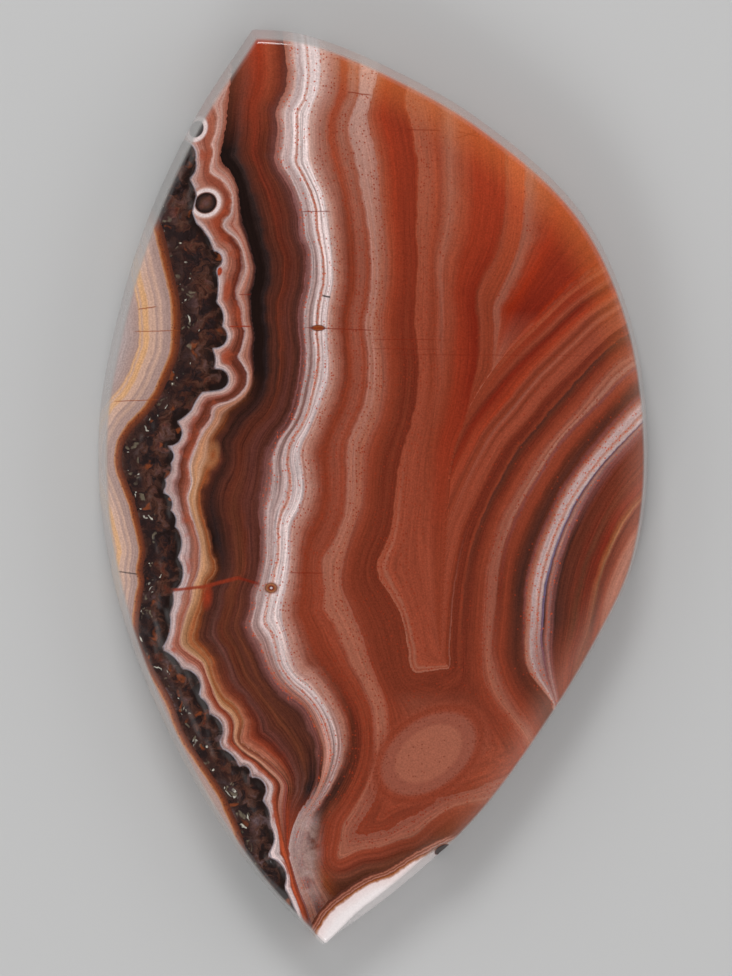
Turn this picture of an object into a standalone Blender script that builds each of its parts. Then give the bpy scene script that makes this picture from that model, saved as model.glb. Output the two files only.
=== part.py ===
"""A freeform cabochon of banded agate: one polished stone that lies on its flat back.

X runs across the stone, Y along it from the lower tip to the upper one, and Z up through
its domed face. The origin is on the back, under the middle of the outline.
"""

import math

import bmesh
import bpy
from mathutils import Vector

MM = 0.001

# The outline at the girdle, in millimetres from the middle of the stone.
UPPER_TIP = (-6.1, 22.9)
LEFT_SIDE = (
    (-9.0, 18.4),
    (-11.7, 12.4),
    (-13.5, 5.4),
    (-13.8, 0.9),
    (-13.3, -3.6),
    (-11.9, -8.6),
    (-9.1, -14.6),
    (-5.8, -19.6),
)
LOWER_TIP = (-2.5, -23.1)
RIGHT_SIDE = (
    (1.3, -20.3),
    (5.3, -16.6),
    (9.0, -11.6),
    (11.4, -7.6),
    (13.2, -3.6),
    (13.8, 1.9),
    (12.9, 8.4),
    (10.3, 13.9),
    (5.3, 18.4),
    (0.3, 21.2),
    (-3.7, 22.7),
)
TIP_ROUNDING = 0.4
POINT_SPACING = 0.9

# Heights and insets of the edge, in millimetres, from the back up.
BACK_BEVEL = 0.4
GIRDLE_HEIGHT = 0.5
WALL_TOP = 4.0
WALL_INSET = 0.33
ARRIS_RADIUS = 0.35
ARRIS_STEPS = 3

# The long bevel on the pale rind, which runs from the lower tip up the right side.
RIND_BEVEL_START = (-1.6, -22.4)
RIND_BEVEL_END = (3.5, -18.3)
RIND_BEVEL_EXTRA = 0.45
RIND_BEVEL_FADE = 0.9

# The low dome: how far it rises, how flat its middle is, and where its rings lie.
CROWN_RISE = 1.35
CROWN_POWER = 2.4
CROWN_RINGS = 14
TIP_FADE_POWER = 4
SOFTENING_REACH = 9.0

# A small flake that came off where the rind meets the right edge.
CHIP_PLACE = (3.55, -18.2, 4.1)
CHIP_LENGTH = 0.75
CHIP_WIDTH = 0.34
CHIP_DEPTH = 0.5
CHIP_TURN = math.radians(32)

STONE_COLOUR = (0.33, 0.07, 0.03, 1.0)
STONE_ROUGHNESS = 0.08


def clear_scene():
    for obj in list(bpy.data.objects):
        bpy.data.objects.remove(obj)


def curve_through(points, steps=24):
    """A smooth line through the points, from the first to the last."""
    ends = [points[0] * 2 - points[1], *points, points[-1] * 2 - points[-2]]
    line = []
    for before, start, end, after in zip(ends, ends[1:], ends[2:], ends[3:]):
        span = (end - start).length
        leave = (end - before) * span / ((start - before).length + span)
        arrive = (after - start) * span / ((after - end).length + span)
        for step in range(steps):
            t = step / steps
            line.append(
                start * (2 * t**3 - 3 * t**2 + 1)
                + leave * (t**3 - 2 * t**2 + t)
                + end * (3 * t**2 - 2 * t**3)
                + arrive * (t**3 - t**2)
            )
    return [*line, points[-1]]


def evenly_spaced(line, trim, spacing):
    """Points about the spacing apart along the line, which loses the trim at each end."""
    travelled = [0.0]
    for start, end in zip(line, line[1:]):
        travelled.append(travelled[-1] + (end - start).length)
    first, last = trim, travelled[-1] - trim
    count = round((last - first) / spacing)
    points, at = [], 0
    for step in range(count + 1):
        wanted = first + (last - first) * step / count
        while travelled[at + 1] < wanted:
            at += 1
        share = (wanted - travelled[at]) / (travelled[at + 1] - travelled[at])
        points.append(line[at].lerp(line[at + 1], share))
    return points


def rounded_tip(start, tip, end, steps=3):
    """The points between two sides that meet at a tip, on a small curve."""
    shares = [(step + 1) / (steps + 1) for step in range(steps)]
    return [start.lerp(tip, t).lerp(tip.lerp(end, t), t) for t in shares]


def outline():
    """The girdle, anticlockwise as seen from above, with its middle at the origin."""
    upper, lower = Vector(UPPER_TIP), Vector(LOWER_TIP)
    left = curve_through([upper, *map(Vector, LEFT_SIDE), lower])
    right = curve_through([lower, *map(Vector, RIGHT_SIDE), upper])
    left = evenly_spaced(left, TIP_ROUNDING, POINT_SPACING)
    right = evenly_spaced(right, TIP_ROUNDING, POINT_SPACING)
    points = [
        *left,
        *rounded_tip(left[-1], lower, right[0]),
        *right,
        *rounded_tip(right[-1], upper, left[0]),
    ]
    low = Vector([min(p[axis] for p in points) for axis in (0, 1)])
    high = Vector([max(p[axis] for p in points) for axis in (0, 1)])
    return [p - (low + high) / 2 for p in points]


def softened(points):
    """How far the edge is from the middle at each point, evened out so that the tips go."""
    soft = []
    for point in points:
        weights = [math.exp(-(((q - point).length / SOFTENING_REACH) ** 2)) for q in points]
        total = sum(w * q.length for w, q in zip(weights, points))
        soft.append(total / sum(weights))
    return soft


def wall_inset(point):
    """How far the wall leans in by its top, which is further on the rind's long bevel."""
    start, end = Vector(RIND_BEVEL_START), Vector(RIND_BEVEL_END)
    along = (point - start).dot((end - start).normalized())
    across = (point - start - (end - start).normalized() * along).length
    if across > 2 * RIND_BEVEL_FADE:
        return WALL_INSET
    inside = min(along, (end - start).length - along)
    share = min(1.0, max(0.0, 0.5 + inside / RIND_BEVEL_FADE))
    return WALL_INSET + RIND_BEVEL_EXTRA * share * share * (3 - 2 * share)


def edge_rings(points):
    """The rings from the back's edge up over the girdle, the wall and the rounded arris."""
    rings = [[(BACK_BEVEL, 0.0)] * len(points), [(0.0, GIRDLE_HEIGHT)] * len(points)]
    insets = [wall_inset(point) for point in points]
    for step in range(ARRIS_STEPS + 1):
        ring = []
        for point, inset in zip(points, insets):
            steep = math.atan2(WALL_TOP - GIRDLE_HEIGHT, inset)
            shallow = math.atan(CROWN_POWER * CROWN_RISE / point.length)
            slope = steep + (shallow - steep) * step / ARRIS_STEPS
            inward = ARRIS_RADIUS * (math.sin(steep) - math.sin(slope))
            upward = ARRIS_RADIUS * (math.cos(slope) - math.cos(steep))
            ring.append((inset + inward, WALL_TOP + upward))
        rings.append(ring)
    return [
        [
            (*(point.normalized() * (point.length - inset)), height)
            for point, (inset, height) in zip(points, ring)
        ]
        for ring in rings
    ]


def crown_rings(points, rim):
    """The rings of the dome inside its rim, each a smaller and rounder copy of the outline."""
    soft = softened(points)
    rings = []
    for step in range(1, CROWN_RINGS):
        size = 1 - step / CROWN_RINGS
        keep = size**TIP_FADE_POWER
        rise = CROWN_RISE * (1 - size**CROWN_POWER)
        ring = []
        for (x, y, z), reach in zip(rim, soft):
            edge = Vector((x, y))
            radius = size * (edge.length * keep + reach * (1 - keep))
            ring.append((*(edge.normalized() * radius), z + rise))
        rings.append(ring)
    return rings


def add_ring(bm, loop, ring, place):
    """Extrudes the loop's edges and lays each new vertex at its own place on the ring."""
    made = bmesh.ops.extrude_edge_only(bm, edges=loop)["geom"]
    edges = [part for part in made if isinstance(part, bmesh.types.BMEdge)]
    for vertex in {vertex for edge in edges for vertex in edge.verts}:
        vertex.co = Vector(ring[vertex[place]]) * MM
    return edges


def make_cabochon():
    points = outline()
    edge = edge_rings(points)
    crown = crown_rings(points, edge[-1])
    bm = bmesh.new()
    place = bm.verts.layers.int.new("place")
    first = []
    for number, corner in enumerate(edge[0]):
        vertex = bm.verts.new(Vector(corner) * MM)
        vertex[place] = number
        first.append(vertex)
    back = bm.faces.new(reversed(first))
    loop = list(back.edges)
    for ring in [*edge[1:], *crown]:
        loop = add_ring(bm, loop, ring, place)
    rim_height = edge[-1][0][2]
    top = bm.verts.new((0, 0, (rim_height + CROWN_RISE) * MM))
    for side in loop:
        bm.faces.new((*side.verts, top))
    bmesh.ops.recalc_face_normals(bm, faces=bm.faces)
    bm.verts.layers.int.remove(place)
    mesh = bpy.data.meshes.new("cabochon")
    bm.to_mesh(mesh)
    bm.free()
    mesh.shade_smooth()
    mesh.set_sharp_from_angle(angle=math.radians(30))
    stone = bpy.data.objects.new("cabochon", mesh)
    bpy.context.scene.collection.objects.link(stone)
    return stone


def cut_chip(stone):
    """Takes a small shell-shaped flake out of the right edge, above the rind."""
    bpy.ops.mesh.primitive_ico_sphere_add(
        subdivisions=1, radius=0.5, location=Vector(CHIP_PLACE) * MM, rotation=(0, 0, CHIP_TURN)
    )
    flake = bpy.context.object
    flake.name = "chip_cutter"
    flake.scale = Vector((CHIP_LENGTH, CHIP_WIDTH, CHIP_DEPTH)) * MM
    flake.hide_render = True
    flake.display_type = "WIRE"
    cut = stone.modifiers.new("chip", "BOOLEAN")
    cut.operation = "DIFFERENCE"
    cut.solver = "EXACT"
    cut.object = flake


def polish(stone):
    """The stone's brick red, with a lapidary's gloss."""
    material = bpy.data.materials.new("agate")
    material.use_nodes = True
    shader = material.node_tree.nodes["Principled BSDF"]
    shader.inputs["Base Color"].default_value = STONE_COLOUR
    shader.inputs["Roughness"].default_value = STONE_ROUGHNESS
    shader.inputs["Metallic"].default_value = 0.0
    material.diffuse_color = STONE_COLOUR
    stone.data.materials.append(material)


def main():
    clear_scene()
    stone = make_cabochon()
    cut_chip(stone)
    polish(stone)


main()
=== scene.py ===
"""The looks of a banded agate cabochon: its polished shape, its bands and its crystal vein."""
import math

import bmesh
import bpy
import numpy as np
from mathutils import Matrix, Vector, noise


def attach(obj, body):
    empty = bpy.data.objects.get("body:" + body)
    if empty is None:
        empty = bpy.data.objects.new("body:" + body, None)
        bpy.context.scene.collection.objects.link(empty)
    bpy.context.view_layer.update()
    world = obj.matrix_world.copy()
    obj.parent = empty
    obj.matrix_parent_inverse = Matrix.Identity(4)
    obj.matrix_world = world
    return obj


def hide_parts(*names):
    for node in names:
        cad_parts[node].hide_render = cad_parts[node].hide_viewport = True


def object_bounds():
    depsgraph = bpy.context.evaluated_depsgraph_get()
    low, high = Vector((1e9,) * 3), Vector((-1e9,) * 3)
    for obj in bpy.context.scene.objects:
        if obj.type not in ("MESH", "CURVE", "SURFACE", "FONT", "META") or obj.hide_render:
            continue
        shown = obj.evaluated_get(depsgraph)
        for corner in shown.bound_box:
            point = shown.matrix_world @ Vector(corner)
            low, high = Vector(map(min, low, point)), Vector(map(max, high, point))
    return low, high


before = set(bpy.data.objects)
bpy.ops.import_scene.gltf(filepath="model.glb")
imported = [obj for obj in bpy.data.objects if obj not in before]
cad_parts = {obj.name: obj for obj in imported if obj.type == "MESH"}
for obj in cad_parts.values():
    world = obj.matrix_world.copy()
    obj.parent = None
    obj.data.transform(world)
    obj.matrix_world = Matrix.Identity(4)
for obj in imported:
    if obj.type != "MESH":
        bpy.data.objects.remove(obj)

bl_info = {
    "name": "Banded Agate Cabochon",
    "version": (1, 0, 0),
    "blender": (4, 5, 0),
    "location": "3D View > Sidebar > Agate",
    "description": "Models a freeform agate cabochon with its bands, crystal vein and polish",
    "category": "Add Mesh",
}

LOW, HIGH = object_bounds()
MM = 0.001

# The bands are traced on a sheet laid over the stone: 20 units to a millimetre, y downwards.
SHEET_UNIT = 0.05 * MM
SHEET_MIDDLE = (374.5, 489.6)
# How far the bands lean to the side for each unit that they go down into the stone.
BAND_LEAN = (0.0332, -0.0594)

# The outline at the girdle, in millimetres from the middle of the stone.
UPPER_TIP = (-6.1, 22.9)
LEFT_SIDE = (
    (-9.0, 18.4), (-11.7, 12.4), (-13.5, 5.4), (-13.8, 0.9),
    (-13.3, -3.6), (-11.9, -8.6), (-9.1, -14.6), (-5.8, -19.6),
)
LOWER_TIP = (-2.5, -23.1)
RIGHT_SIDE = (
    (1.3, -20.3), (5.3, -16.6), (9.0, -11.6), (11.4, -7.6), (13.2, -3.6), (13.8, 1.9),
    (12.9, 8.4), (10.3, 13.9), (5.3, 18.4), (0.3, 21.2), (-3.7, 22.7),
)
RIND_BEVEL_START = (-1.6, -22.4)
RIND_BEVEL_END = (3.5, -18.3)
# The flake that is missing: its middle, its length, width and height, its turn and its uneven face.
CHIP_PLACE = (3.33, -17.9, 4.0)
CHIP_SIZE = (0.9, 0.5, 1.1)
CHIP_TURN = math.radians(32)
CHIP_UNEVENNESS = 0.12
CHIP_FACET = 0.2
# How the dome and the tips curve, and how finely the mesh is drawn.
CROWN_POWER = 2.4
CROWN_RINGS = 28
TIP_FADE_POWER = 4
SMOOTHING_LEVELS = 2
SHARP_ANGLE = math.radians(35)
# The vein's hollows: their size, how far in from its edges they reach full depth, and the least depth.
CRYSTAL_SIZE = 0.55
CRYSTAL_EDGES = (6, 8)
CRYSTAL_LEAST = 0.25
CRYSTAL_ROUNDING = 0.7
# The wall starts where a normal points up by less than this, and is full one fade lower.
WALL_START = 0.8
WALL_FADE = 0.45

# Each cusp of the vein's scalloped right edge, and how far the bubble after it bulges.
VEIN_SCALLOPS = (
    (187, 141, 4), (196, 160, 3), (190, 179, 1), (197, 195, 0), (193, 212, 0), (197, 223, 2.5),
    (214, 250, 7), (218, 268, 0), (217, 272, 2), (217, 302, 4), (223, 326, 10), (213, 349, 2),
    (215, 368, 12), (220, 391, 0), (203, 393, -1), (193, 410, 1), (178, 422, 10), (168, 447, 5),
    (172, 463, 3), (166, 479, 2), (164, 492, 5), (172, 510, 3), (176, 526, 1), (182, 536, 2),
    (179, 558, 8), (174, 592, 2), (171, 613, 4), (163, 649, 3), (183, 668, 9), (200, 696, 3),
    (211, 714, 8), (221, 741, 0), (223, 748, 3), (240, 766, 6), (251, 777, 10), (264, 800, 3),
    (271, 825, 4.5), (272, 851, 0), (269, 857, 9), (286, 888, 1), (301, 922, 0),
)
VEIN_LEFT = (
    (148, 200), (155, 212), (163, 230), (168, 250), (175, 280), (179.5, 300), (180.5, 330),
    (178, 355), (170, 375), (161, 395), (147, 415), (132.5, 430), (124, 445), (122, 465),
    (128, 483), (134.5, 500), (142, 530), (146, 552), (143, 570), (145, 580), (142, 600),
    (139.5, 620), (140, 640), (152, 665), (172, 700), (183.5, 730), (195.5, 750), (222.5, 790),
    (232, 810), (244, 840), (250, 870),
)
LACE_WHITE = (
    (217, 97), (213, 103), (215, 110), (218, 118), (216, 132), (211, 143), (213, 150), (212, 160),
    (209, 171), (215, 176), (222, 180), (228, 187), (232, 197), (232, 207), (230, 214), (225, 219),
    (222, 224), (224, 230), (234, 237), (239, 243), (244, 258), (245, 270), (243, 278), (237, 292),
    (238, 297), (243, 307), (244, 320), (247, 328), (247, 337), (242, 352), (241, 356), (248, 368),
    (250, 376), (249, 385), (246, 391), (240, 397), (232, 402), (217, 407), (214, 411), (213, 418),
    (203, 433), (195, 448), (190, 465), (192, 482), (189, 492), (188, 500), (193, 520), (199, 540),
    (200, 552), (197, 576), (193, 583), (190, 600), (184.5, 615), (181, 630), (180, 645), (185, 650),
    (196.5, 658), (203, 664), (208.5, 678), (214, 692), (220, 705), (231.5, 715), (235, 723),
    (234, 738), (236.5, 744), (247, 754), (260, 763), (271.5, 774), (278, 780), (281, 788),
    (278, 800), (279.5, 820), (285, 845), (290, 865), (295, 885), (304, 910), (308, 925),
)
LACE_EDGE = (
    (227, 100), (225, 120), (222, 140), (219, 160), (223, 165), (230, 172), (236, 185), (240, 215),
    (246, 235), (253, 260), (255, 270), (254, 280), (250, 298), (252, 325), (254, 338), (253, 350),
    (254, 370), (253, 380), (250, 390), (245, 398), (230, 411), (222, 425), (213, 440), (215, 452),
    (216, 462), (208, 470), (204, 480), (200, 492), (200, 510), (206, 530), (210, 550), (215, 567),
    (212, 575), (207, 580), (203, 600), (196, 620), (192, 640), (200, 650), (208.5, 660),
    (214.5, 680), (219, 690), (227, 700), (235, 706), (241, 716), (243.5, 722), (240, 738),
    (243, 745), (259, 755), (275, 768), (286.5, 782), (288, 790), (286.5, 810), (287.5, 830),
    (288, 845), (292, 865), (297, 885), (306, 910), (310, 925),
)
WHITE_START = (
    (284, 48), (286.5, 70), (287, 80), (285, 90), (278, 105), (275, 112), (277, 130), (275, 150),
    (274, 158), (278, 170), (284, 178), (292, 195), (297.5, 215), (299, 235), (305.5, 250),
    (306, 270), (303.5, 290), (299, 306), (298, 325), (300.5, 345), (300, 365), (297.5, 385),
    (293, 405), (286, 422), (274.5, 437), (266.5, 455), (264, 475), (261, 495), (258.5, 510),
    (260.5, 530), (260, 555), (257.5, 575), (251, 592), (249.5, 610), (245, 626), (254, 645),
    (262.5, 665), (267, 675), (273.5, 685), (289, 700), (302, 710), (312, 730), (318.5, 750),
    (318.5, 770), (318, 780), (309.6, 800), (300, 813), (291, 835), (289, 853), (293.5, 870),
    (299, 890), (308, 910), (312, 925),
)
WHITE_MIDDLE = (
    (306.5, 50), (308.5, 70), (308, 80), (304.5, 100), (297.5, 112), (297, 130), (296.5, 150),
    (296, 163), (304, 178), (312, 195), (316, 213), (317.5, 232), (323, 260), (323.5, 280),
    (320.5, 296), (317.5, 315), (317, 335), (318.5, 355), (316.5, 375), (313, 390), (308.5, 410),
    (301, 427), (292.5, 440), (287.5, 460), (290.5, 480), (288, 500), (281, 515), (278.5, 530),
    (278.5, 555), (274.5, 573), (269, 600), (264.5, 620), (273, 635), (278, 655), (282, 668),
    (293.4, 683), (309, 697), (319, 710), (327.5, 730), (331.5, 750), (328.5, 770), (321, 790),
    (312, 808), (305, 819), (298, 835), (295, 853), (299, 870), (305, 888), (312, 905), (318, 925),
)
WHITE_END = (
    (321, 50), (322.5, 65), (319, 92), (311.5, 112), (310, 140), (312, 160), (317, 175),
    (325.5, 195), (331, 225), (334, 255), (335, 280), (330, 310), (329.5, 335), (331, 375),
    (327, 392), (320, 410), (311.5, 430), (303, 450), (305, 470), (307, 490), (301.5, 510),
    (292.5, 527), (291, 550), (288, 580), (281, 612), (287, 635), (292, 655), (298, 670),
    (312, 680), (322, 692), (333.5, 710), (341, 730), (342, 750), (336.5, 770), (326.5, 790),
    (314, 808), (307, 822), (303, 840), (302, 853), (305, 870), (311, 888), (318, 905), (325, 925),
)
FIRST_PINK = (
    (360, 62), (360, 85), (358, 100), (350.5, 120), (349.5, 135), (354, 152), (360, 180),
    (367.5, 220), (371.5, 260), (371, 290), (368, 310), (365, 325), (368.5, 352), (369, 375),
    (364.5, 405), (354, 430), (348, 445), (348, 470), (346, 510), (340.5, 528), (332.5, 545),
    (324, 557), (323, 572), (325.5, 595), (324.5, 608), (335.5, 625), (344, 645), (352.5, 665),
    (363.5, 685), (373, 705), (376.5, 725), (376.5, 750), (373, 770), (365, 790), (353.5, 810),
    (343.5, 825), (341, 840), (338, 853), (338.5, 859), (343, 859), (360, 851), (380, 848),
    (400, 841), (412, 838), (420, 833), (430, 823), (440, 815.5), (450, 809.5), (460, 805.5),
    (475, 802), (495, 799), (520, 794),
)
FIRST_PINK_END = (
    (378, 68), (371, 95), (366, 115), (370, 135), (375.5, 160), (379.5, 205), (384.5, 250),
    (384.5, 280), (380.5, 310), (379.5, 325), (382.5, 360), (382.5, 390), (377.5, 418),
    (371, 433), (364.5, 452), (363, 475), (361.5, 505), (355, 525), (346, 553), (342, 575),
    (343, 590), (353.5, 615), (364, 640), (370, 660), (378, 680), (386, 700), (390, 720),
    (390, 740), (385, 760), (380.5, 780), (374, 800), (362.5, 820), (354, 833), (354, 837),
    (365, 835.5), (380, 834), (390, 831), (400, 823), (420, 814), (440, 801), (450, 796.5),
    (475, 790), (500, 779.5), (512, 773), (530, 764),
)
HORSESHOE = (
    (407, 85), (404.5, 105), (410, 120), (414, 140), (418, 170), (417.5, 200), (416.5, 230),
    (418, 265), (415, 315), (416, 335), (419, 365), (417, 395), (411, 425), (402, 455),
    (396.5, 485), (393, 520), (388, 540), (380.5, 555), (377, 569), (379, 577), (389, 593),
    (399, 610), (405, 630), (408.5, 650), (411, 668), (416, 673), (425, 672), (440, 669),
    (449.5, 668), (450, 650), (451, 630), (454, 592), (459, 562), (466, 532), (472, 517),
    (483, 492), (490, 477), (503, 452), (512, 440), (530, 420), (548, 397), (570, 374),
    (590, 354), (610, 335), (627, 323),
)
SECOND_PINK = (
    (441, 100), (442, 150), (443, 200), (440, 230), (434.5, 255), (434.5, 275), (436.5, 320),
    (435, 340), (437.5, 380), (433, 418), (428, 450), (424.5, 500), (421, 530), (424, 570),
    (430, 610), (441, 655),
)
DUSTY_RED = (
    (503, 130), (505, 170), (505.5, 185), (503.5, 215), (499, 245), (491, 265), (480, 285),
    (476.5, 297), (479.5, 320), (478.5, 360), (471.5, 390), (464, 424), (455, 445), (446, 500),
    (443, 560), (442, 600), (441, 655),
)
BRIGHT_STRIPE = (
    (526, 145), (525, 180), (523.5, 215), (519, 245), (508.5, 275), (498, 297), (493.5, 309),
    (494.5, 330), (493, 360), (491.7, 371), (480, 389), (470, 406), (463, 425), (449, 470),
    (443, 560), (441, 655),
)
SEAM = (
    (603, 266), (580, 281), (560, 298), (530, 328), (515, 343), (492, 371), (470, 406),
    (463, 425), (455, 445), (449, 470), (446, 500), (443, 560), (441, 655),
)
SEAM_LINE = (
    (604, 284), (575, 304), (548, 330), (515, 362), (490, 392), (470, 418), (462, 432), (452, 462),
    (448, 500), (445, 560), (441, 655),
)
SEAM_BELOW = ((441, 655), (470, 700), (520, 765))
OUTER_PINK_START = (
    (640, 352), (620, 362), (600, 383), (580, 410), (560, 432), (540, 457), (520, 490),
    (503, 520), (495, 545), (488, 572), (485, 610), (483, 650), (485.7, 680), (493.8, 700),
    (510.5, 720), (525, 740), (530, 756),
)
OUTER_PINK = (
    (642, 361), (620, 378), (600, 400), (580, 419), (560, 440), (545, 463), (530, 488),
    (518, 510), (508, 535), (501, 562), (498, 595), (494, 630), (492, 650), (495, 665),
    (503.5, 690), (515, 710), (529.5, 730), (538, 745),
)
OUTER_WHITE_START = (
    (648, 391), (625, 412), (595, 447), (570, 480), (557, 503), (545, 530), (535, 558),
    (528, 588), (526, 620), (525, 655), (528, 668), (535, 680), (545, 691), (553, 702), (557, 720),
)
OUTER_WHITE_MIDDLE = (
    (648, 411), (630, 430), (600, 464), (577, 498), (560, 537), (551, 565), (545, 595),
    (543, 625), (542, 640), (547, 668), (552, 687), (558, 710),
)
OUTER_WHITE_END = (
    (650, 424), (630, 448), (610, 471), (592, 500), (578, 528), (567, 557), (558, 595),
    (555, 635), (554, 655), (556, 680), (562, 710),
)
RIM_ORANGE = (
    (646, 492), (626, 516), (609, 550), (598, 582), (588, 630), (577, 660), (572, 685),
)
RIM_PINK = (
    (642, 527), (626, 552), (613, 580), (604, 610), (598, 640),
)
RIND_EDGE = (
    (312, 940), (318, 930), (326, 917), (332, 910), (350, 896), (370, 883), (390, 876),
    (410, 863), (436, 849), (450, 842),
)
# How far the traced lines run on past the stone's edge, and how many steps go from point to point.
LINE_REACH = 70
LINE_STEPS = 4
# A scallop that bulges by less than this is drawn straight.
LEAST_BULGE = 0.5
# How many places are measured at once, and how many of a line's nearest stretches are tried for each.
BATCH = 20000
TRIED = 4

# The width of each stretch between two traced lines, in sheet units, where it is usual.
USUAL_WIDTHS = (25, 10, 45, 18, 14, 37, 14, 42, 20, 40, 18, 37)

# The bands' colours from line to line, at the heights on the sheet where they change. The stations
# nearest the top of the stone are lighter and more orange: there the bands' colours hold painted light
# that comes through the stone from behind.
LACE = {
    110: (
        (0, "shell"), (0.3, "rose"), (0.6, "clay"), (0.9, "terracotta"), (1.04, "shell"),
        (1.2, "shell"), (1.34, "rose"), (1.5, "shell"), (1.7, "tan"), (2, "clay"),
    ),
    230: (
        (0, "mist"), (0.12, "ash"), (0.3, "tan"), (0.55, "clay"), (0.7, "garnet"), (0.86, "cherry"),
        (0.95, "tan"), (1.03, "ash"), (1.2, "shell"), (1.42, "clay"), (1.56, "rose"), (1.7, "tan"),
        (1.84, "plum"), (2, "soot"),
    ),
    370: (
        (0, "mist"), (0.16, "shell"), (0.35, "clay"), (0.55, "mahogany"), (0.8, "plum"), (0.88, "ash"),
        (0.98, "shell"), (1.2, "tan"), (1.45, "tan"), (1.6, "wine"), (1.8, "umber"), (2, "soot"),
    ),
    480: (
        (0, "fog"), (0.15, "ash"), (0.33, "heather"), (0.52, "mahogany"), (0.8, "clay"), (0.92, "rose"),
        (1, "mist"), (1.13, "wheat"), (1.33, "honey"), (1.55, "wheat"), (1.75, "caramel"), (2, "amber"),
    ),
    610: (
        (0, "ash"), (0.15, "mist"), (0.36, "mist"), (0.55, "rose"), (0.76, "tan"), (0.9, "clay"),
        (1.04, "rose"), (1.2, "wheat"), (1.45, "honey"), (1.7, "caramel"), (2, "amber"),
    ),
    700: (
        (0, "slate"), (0.12, "ash"), (0.28, "shell"), (0.46, "terracotta"), (0.7, "brick"),
        (0.86, "cherry"), (0.96, "tan"), (1.06, "wheat"), (1.3, "honey"), (1.55, "caramel"),
        (1.78, "amber"), (2, "caramel"),
    ),
    790: (
        (0, "slate"), (0.12, "ash"), (0.36, "mist"), (0.54, "terracotta"), (0.75, "rust"),
        (0.9, "mahogany"), (1.05, "mahogany"), (1.14, "tan"), (1.35, "rose"), (1.6, "clay"),
        (1.8, "raisin"), (2, "garnet"),
    ),
    850: (
        (0, "milk"), (0.32, "milk"), (0.46, "ash"), (0.56, "copper"), (0.75, "orange"), (1, "copper"),
        (1.3, "rust"), (2, "garnet"),
    ),
}
DARK = {
    50: ((2, "sienna"), (2.3, "brick"), (2.5, "flame"), (2.7, "copper"), (2.88, "garnet"), (3, "plum")),
    150: (
        (2, "pitch"), (2.16, "pitch"), (2.27, "ink"), (2.37, "umber"), (2.5, "mahogany"),
        (2.6, "cherry"), (2.78, "mahogany"), (2.88, "plum"), (3, "wine"),
    ),
    370: (
        (2, "pitch"), (2.2, "pitch"), (2.28, "soot"), (2.36, "coffee"), (2.44, "umber"),
        (2.5, "coffee"), (2.57, "mahogany"), (2.67, "umber"), (2.75, "plum"), (2.83, "umber"),
        (2.91, "coffee"), (3, "plum"),
    ),
    460: (
        (2, "amber"), (2.05, "sienna"), (2.11, "umber"), (2.2, "coffee"), (2.34, "umber"),
        (2.48, "mahogany"), (2.62, "umber"), (2.74, "plum"), (2.9, "umber"), (3, "wine"),
    ),
    540: (
        (2, "caramel"), (2.04, "sienna"), (2.09, "pitch"), (2.2, "soot"), (2.33, "coffee"),
        (2.44, "umber"), (2.58, "sienna"), (2.69, "mahogany"), (2.8, "plum"), (3, "umber"),
    ),
    650: (
        (2, "caramel"), (2.08, "amber"), (2.15, "sienna"), (2.27, "umber"), (2.36, "dusk"),
        (2.42, "plum"), (2.48, "sienna"), (2.54, "mahogany"), (2.63, "sienna"), (2.73, "umber"),
        (2.82, "sienna"), (2.9, "umber"), (3, "wine"),
    ),
    755: (
        (2, "tan"), (2.07, "terracotta"), (2.17, "rust"), (2.26, "cherry"), (2.38, "plum"),
        (2.5, "umber"), (2.62, "sienna"), (2.8, "umber"), (2.92, "coffee"), (3, "wine"),
    ),
    790: (
        (2, "umber"), (2.1, "sienna"), (2.28, "umber"), (2.4, "dusk"), (2.48, "umber"), (2.56, "dusk"),
        (2.66, "coffee"), (2.74, "ink"), (2.87, "soot"), (2.94, "coffee"), (3, "plum"),
    ),
    835: ((2, "flame"), (2.5, "rust"), (3, "rust")),
    880: ((2, "rust"), (2.5, "mauve"), (3, "mauve")),
}
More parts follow.
